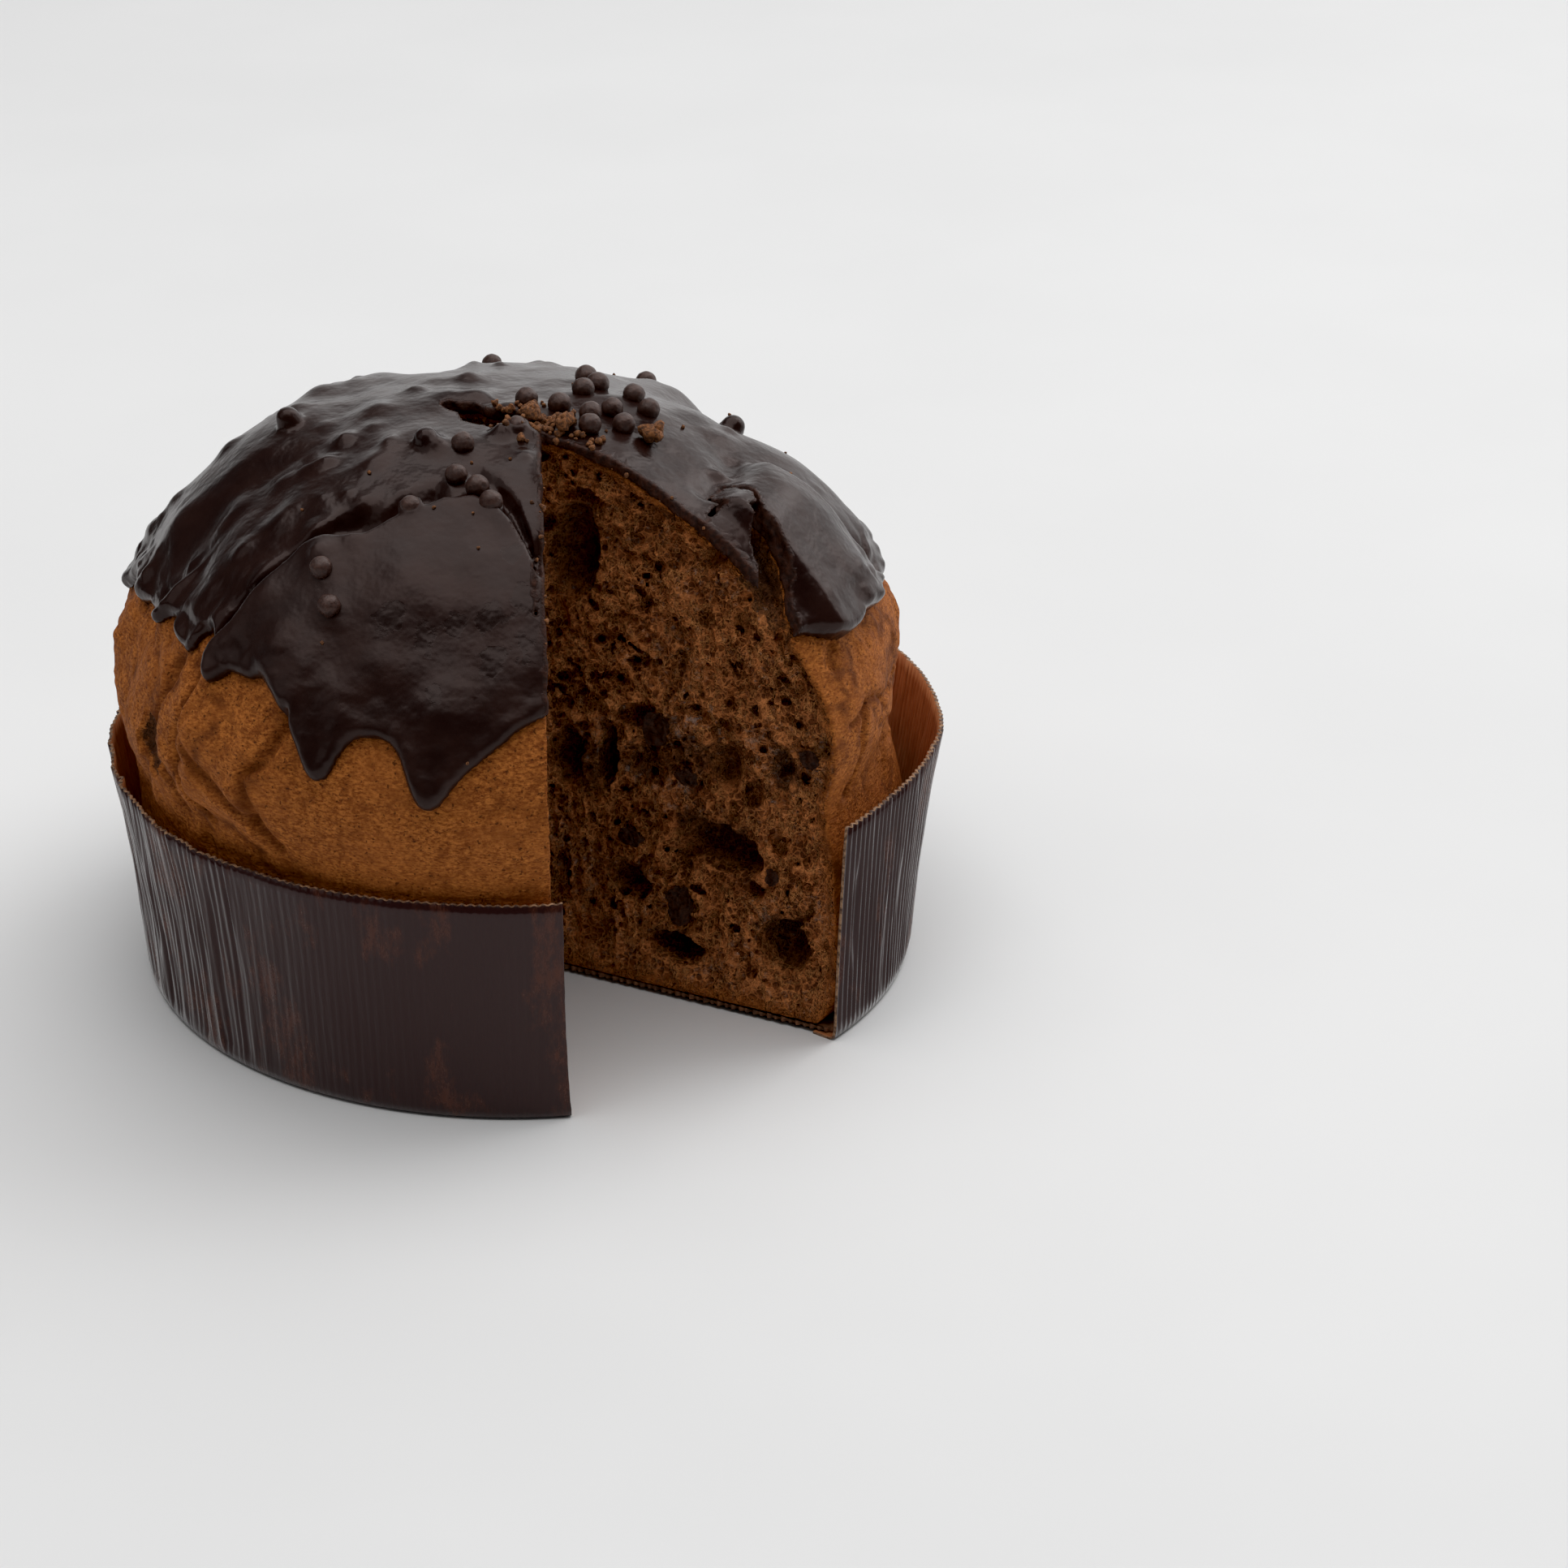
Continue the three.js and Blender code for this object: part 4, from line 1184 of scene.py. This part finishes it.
# ---- paper case wall ----
# One strip of coated baking paper, pressed into fine upright flutes, dark outside and tan
# inside. It is folded in at the foot, leans out towards its pinked rim, and was cut with the
# slice. It is a sheet laid round the loaf by its bearing and by its length up from the fold.
WALL_STARTS, WALL_ENDS = -37.2, 278
WALL_INSIDE = 98.2
PAPER = 0.7
FLUTES = 300
tint = (1.0, 0.88, 0.87, 1)
outside_paper = Finish(
    "case_paper", IOR=1.38, Specular_Tint=tint, Sheen_Weight=0.6, Sheen_Roughness=0.35
)
worn = outside_paper.grain(2.4, 5, stretch=(1, 1, 2.6), rough=0.75)
worn = (worn * outside_paper.grain(20, 3, stretch=(1, 1, 2), shift=3).rise(0.38, 0.62)).rise(0.34, 0.66)
threads = outside_paper.grain(0.8, 2, stretch=(1, 1, 14), shift=6)
dark, pale = (0.026, 0.0070, 0.0062, 1), (0.115, 0.030, 0.011, 1)
outside_paper.feed(
    Base_Color=outside_paper.mix(worn * 0.6, dark, pale),
    Roughness=0.11 + threads * 0.1 + worn * 0.2,
    Normal=outside_paper.bump(threads, 0.12),
)
inside_paper = Finish("case_paper_inside", Roughness=0.75)
fibre = inside_paper.grain(1.2, 4, stretch=(1, 1, 8))
dark, pale = (0.40, 0.13, 0.040, 1), (0.58, 0.23, 0.085, 1)
inside_paper.feed(
    Base_Color=inside_paper.mix(fibre.rise(0.25, 0.75), dark, pale),
    Normal=inside_paper.bump(fibre, 0.2),
)
paper_edge = Finish("case_paper_edge", Roughness=0.8)
frayed = paper_edge.grain(1.1, 3).rise(0.3, 0.7)
dark, pale = (0.06, 0.024, 0.012, 1), (0.42, 0.24, 0.13, 1)
paper_edge.feed(Base_Color=paper_edge.mix(frayed, dark, pale))
ROWS, EACH_FLUTE = 26, 6
wall = Pattern(
    "case_wall", Starts=math.radians(WALL_STARTS), Ends=math.radians(WALL_ENDS),
    Radius=(WALL_INSIDE + PAPER) * MM, Height=CASE_HEIGHT * MM, Fold=2.0 * MM, Under=5.0 * MM,
    Flutes=FLUTES, Depth=0.42 * MM,
)  # fmt: skip
columns = round((WALL_ENDS - WALL_STARTS) / 360 * FLUTES * EACH_FLUTE)
values = {"Size X": 1.0, "Size Y": 1.0, "Vertices X": columns, "Vertices Y": ROWS}
sheet = wall.node("GeometryNodeMeshGrid", None, values)
flat = wall.node("GeometryNodeInputPosition")
share = wall.part(flat, 0) + 0.5
risen = (wall.part(flat, 1) + 0.5) ** 1.4
round_by = wall.given("Starts") + (wall.given("Ends") - wall.given("Starts")) * share
fold, under, tall = wall.given("Fold"), wall.given("Under"), wall.given("Height")
length = risen * (under + tall + fold * (math.pi / 2 - 1)) - under
bend = (length * (1 / fold)).most(0).least(math.pi / 2)
upright = (length - fold * (math.pi / 2)).most(0)
height = fold - fold * bend.cosine() + upright
inwards = length.least(0) + fold * (bend.sine() - 1)
part_up = height * (1 / tall)
# The rim leans out least by the two knife cuts and most at the back.
from_left = (round_by - math.radians(276)).unsigned()
from_left = from_left.least(round_by + math.radians(84)).rise(math.radians(10), math.radians(75))
from_right = (round_by + math.radians(38)).least(math.radians(322) - round_by)
from_right = from_right.rise(math.radians(4), math.radians(40))
wave = (round_by * 3 + math.radians(60)).sine() * 0.8 + 3.6
flare = (from_left * from_right * wave + 3) * part_up**1.4 * MM
strong = 1 - 0.86 * (round_by.rise(math.radians(228), math.radians(231)))
along = round_by * 0.098  # the length round the wall, in metres
uneven = wall.noise(wall.vector(along, 0.0, height * 0.12), 5.0, 2.0)
deep_fold = wall.noise(wall.vector(along, 3.0, height * 0.05), 2.6, 1.0).rise(0.58, 0.72)
leaning = wall.noise(wall.vector(along, 7.0, 0.0), 14.0, 1.0) - 0.5
phase = round_by * wall.given("Flutes") + leaning * (1 - part_up) ** 2 * 9
from_pleats = (round_by - math.radians(205)).unsigned()
pleated = 1 - from_pleats.rise(math.radians(20), math.radians(34))
streaks = wall.noise(wall.vector(along, 5.0, height * 0.05), 4.2, 3.0) - 0.5
flute = phase.cosine() * wall.given("Depth") * (0.35 + 0.9 * uneven) * strong * (1 - 0.6 * pleated)
flute = flute + streaks * pleated * 3.4 * MM
creased = deep_fold * wall.given("Depth") * -1.6 * strong
buckle = (wall.noise(wall.vector(along, 9.0, height * 0.5), 16.0, 1.0) - 0.5) * 1.6 * MM
buckle = buckle * part_up.rise(0.05, 0.5) * from_right
upper = part_up.rise(0.02, 0.1)
radius = wall.given("Radius") + flare + inwards + (flute + creased + buckle) * upper
nick = (phase.cosine() * 0.5 + 0.5) * (-0.35 * MM) * part_up.rise(0.96, 1.0)
torn_edge = (share * -1 + 1).rise(0.006, 0.0)
cut_waver = wall.noise(wall.vector(0.0, 5.0, height), 3.2, 4.0) - 0.5
bearing_now = round_by + torn_edge * (cut_waver * 0.006 + (1 - part_up) ** 3 * 0.012)
place = wall.vector(
    bearing_now.cosine() * radius + float(AXIS[0] * MM),
    bearing_now.sine() * radius + float(AXIS[1] * MM),
    height + nick,
)
sheet = wall.node("GeometryNodeSetPosition", None, {"Geometry": sheet, "Position": place})
case_wall = settled(wall.made("case_wall_piece", sheet, outside_paper))
for finish in (inside_paper, paper_edge):
    case_wall.data.materials.append(finish.material)
thickness = case_wall.modifiers.new("thickness", "SOLIDIFY")
thickness.thickness = PAPER * MM
thickness.offset = -1
thickness.material_offset, thickness.material_offset_rim = 1, 2
settled(case_wall)
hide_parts("case_wall")
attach(case_wall, "root")

# ---- base board ----
# A disc of plain brown corrugated paper under the loaf, cut with the slice, so its cut edges
# show the open ends of the corrugation as a row of small notches.
BOARD_RADIUS, BOARD_LOW, BOARD_HIGH = 97.6, 1.1, 2.15
NOTCH = 2.0
rim_bearings = np.radians(np.arange(-35.5, 277.5, 0.5))
rim = BOARD_RADIUS * np.stack([np.cos(rim_bearings), np.sin(rim_bearings)], axis=1)
edges = []
for cut, flip in ((0, 1), (1, -1)):
    steps = np.arange(0.5, 79, 0.25)[::-1]
    depth = 0.25 + 0.35 * np.sin(2 * math.pi * steps / NOTCH) + 0.15 * np.sin(steps * 1.7)
    line = APEX + steps[:, None] * cut_ways[cut] - depth[:, None] * cut_outs[cut]
    line = line[np.hypot(line[:, 0], line[:, 1]) < BOARD_RADIUS]
    edges.append(line[::flip])
board_corner = APEX - 0.6 * (cut_outs[0] + cut_outs[1])
outline_points = np.concatenate([rim, edges[0], [board_corner], edges[1]])
around = len(outline_points)
board_points = [(*p, BOARD_LOW) for p in outline_points] + [(*p, BOARD_HIGH) for p in outline_points]
board_points += [(-12, 6, BOARD_LOW), (-12, 6, BOARD_HIGH)]
low_middle, high_middle = 2 * around, 2 * around + 1
board_faces = []
for k in range(around):
    after = (k + 1) % around
    board_faces.append((k, after, around + after, around + k))
    board_faces += [(after, k, low_middle), (around + k, around + after, high_middle)]
board_mesh = bpy.data.meshes.new("base_board")
board_mesh.from_pydata([tuple(p) for p in in_metres(board_points)], [], board_faces)
board = placed("base_board", board_mesh)
board_finish = Finish("base_paper", Roughness=0.85)
pulp = board_finish.grain(1.5, 4).rise(0.3, 0.7)
dark, pale = (0.07, 0.026, 0.010, 1), (0.26, 0.11, 0.045, 1)
board_finish.feed(Base_Color=board_finish.mix(pulp, dark, pale))
board_mesh.materials.append(board_finish.material)
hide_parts("case_base")
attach(board, "root")
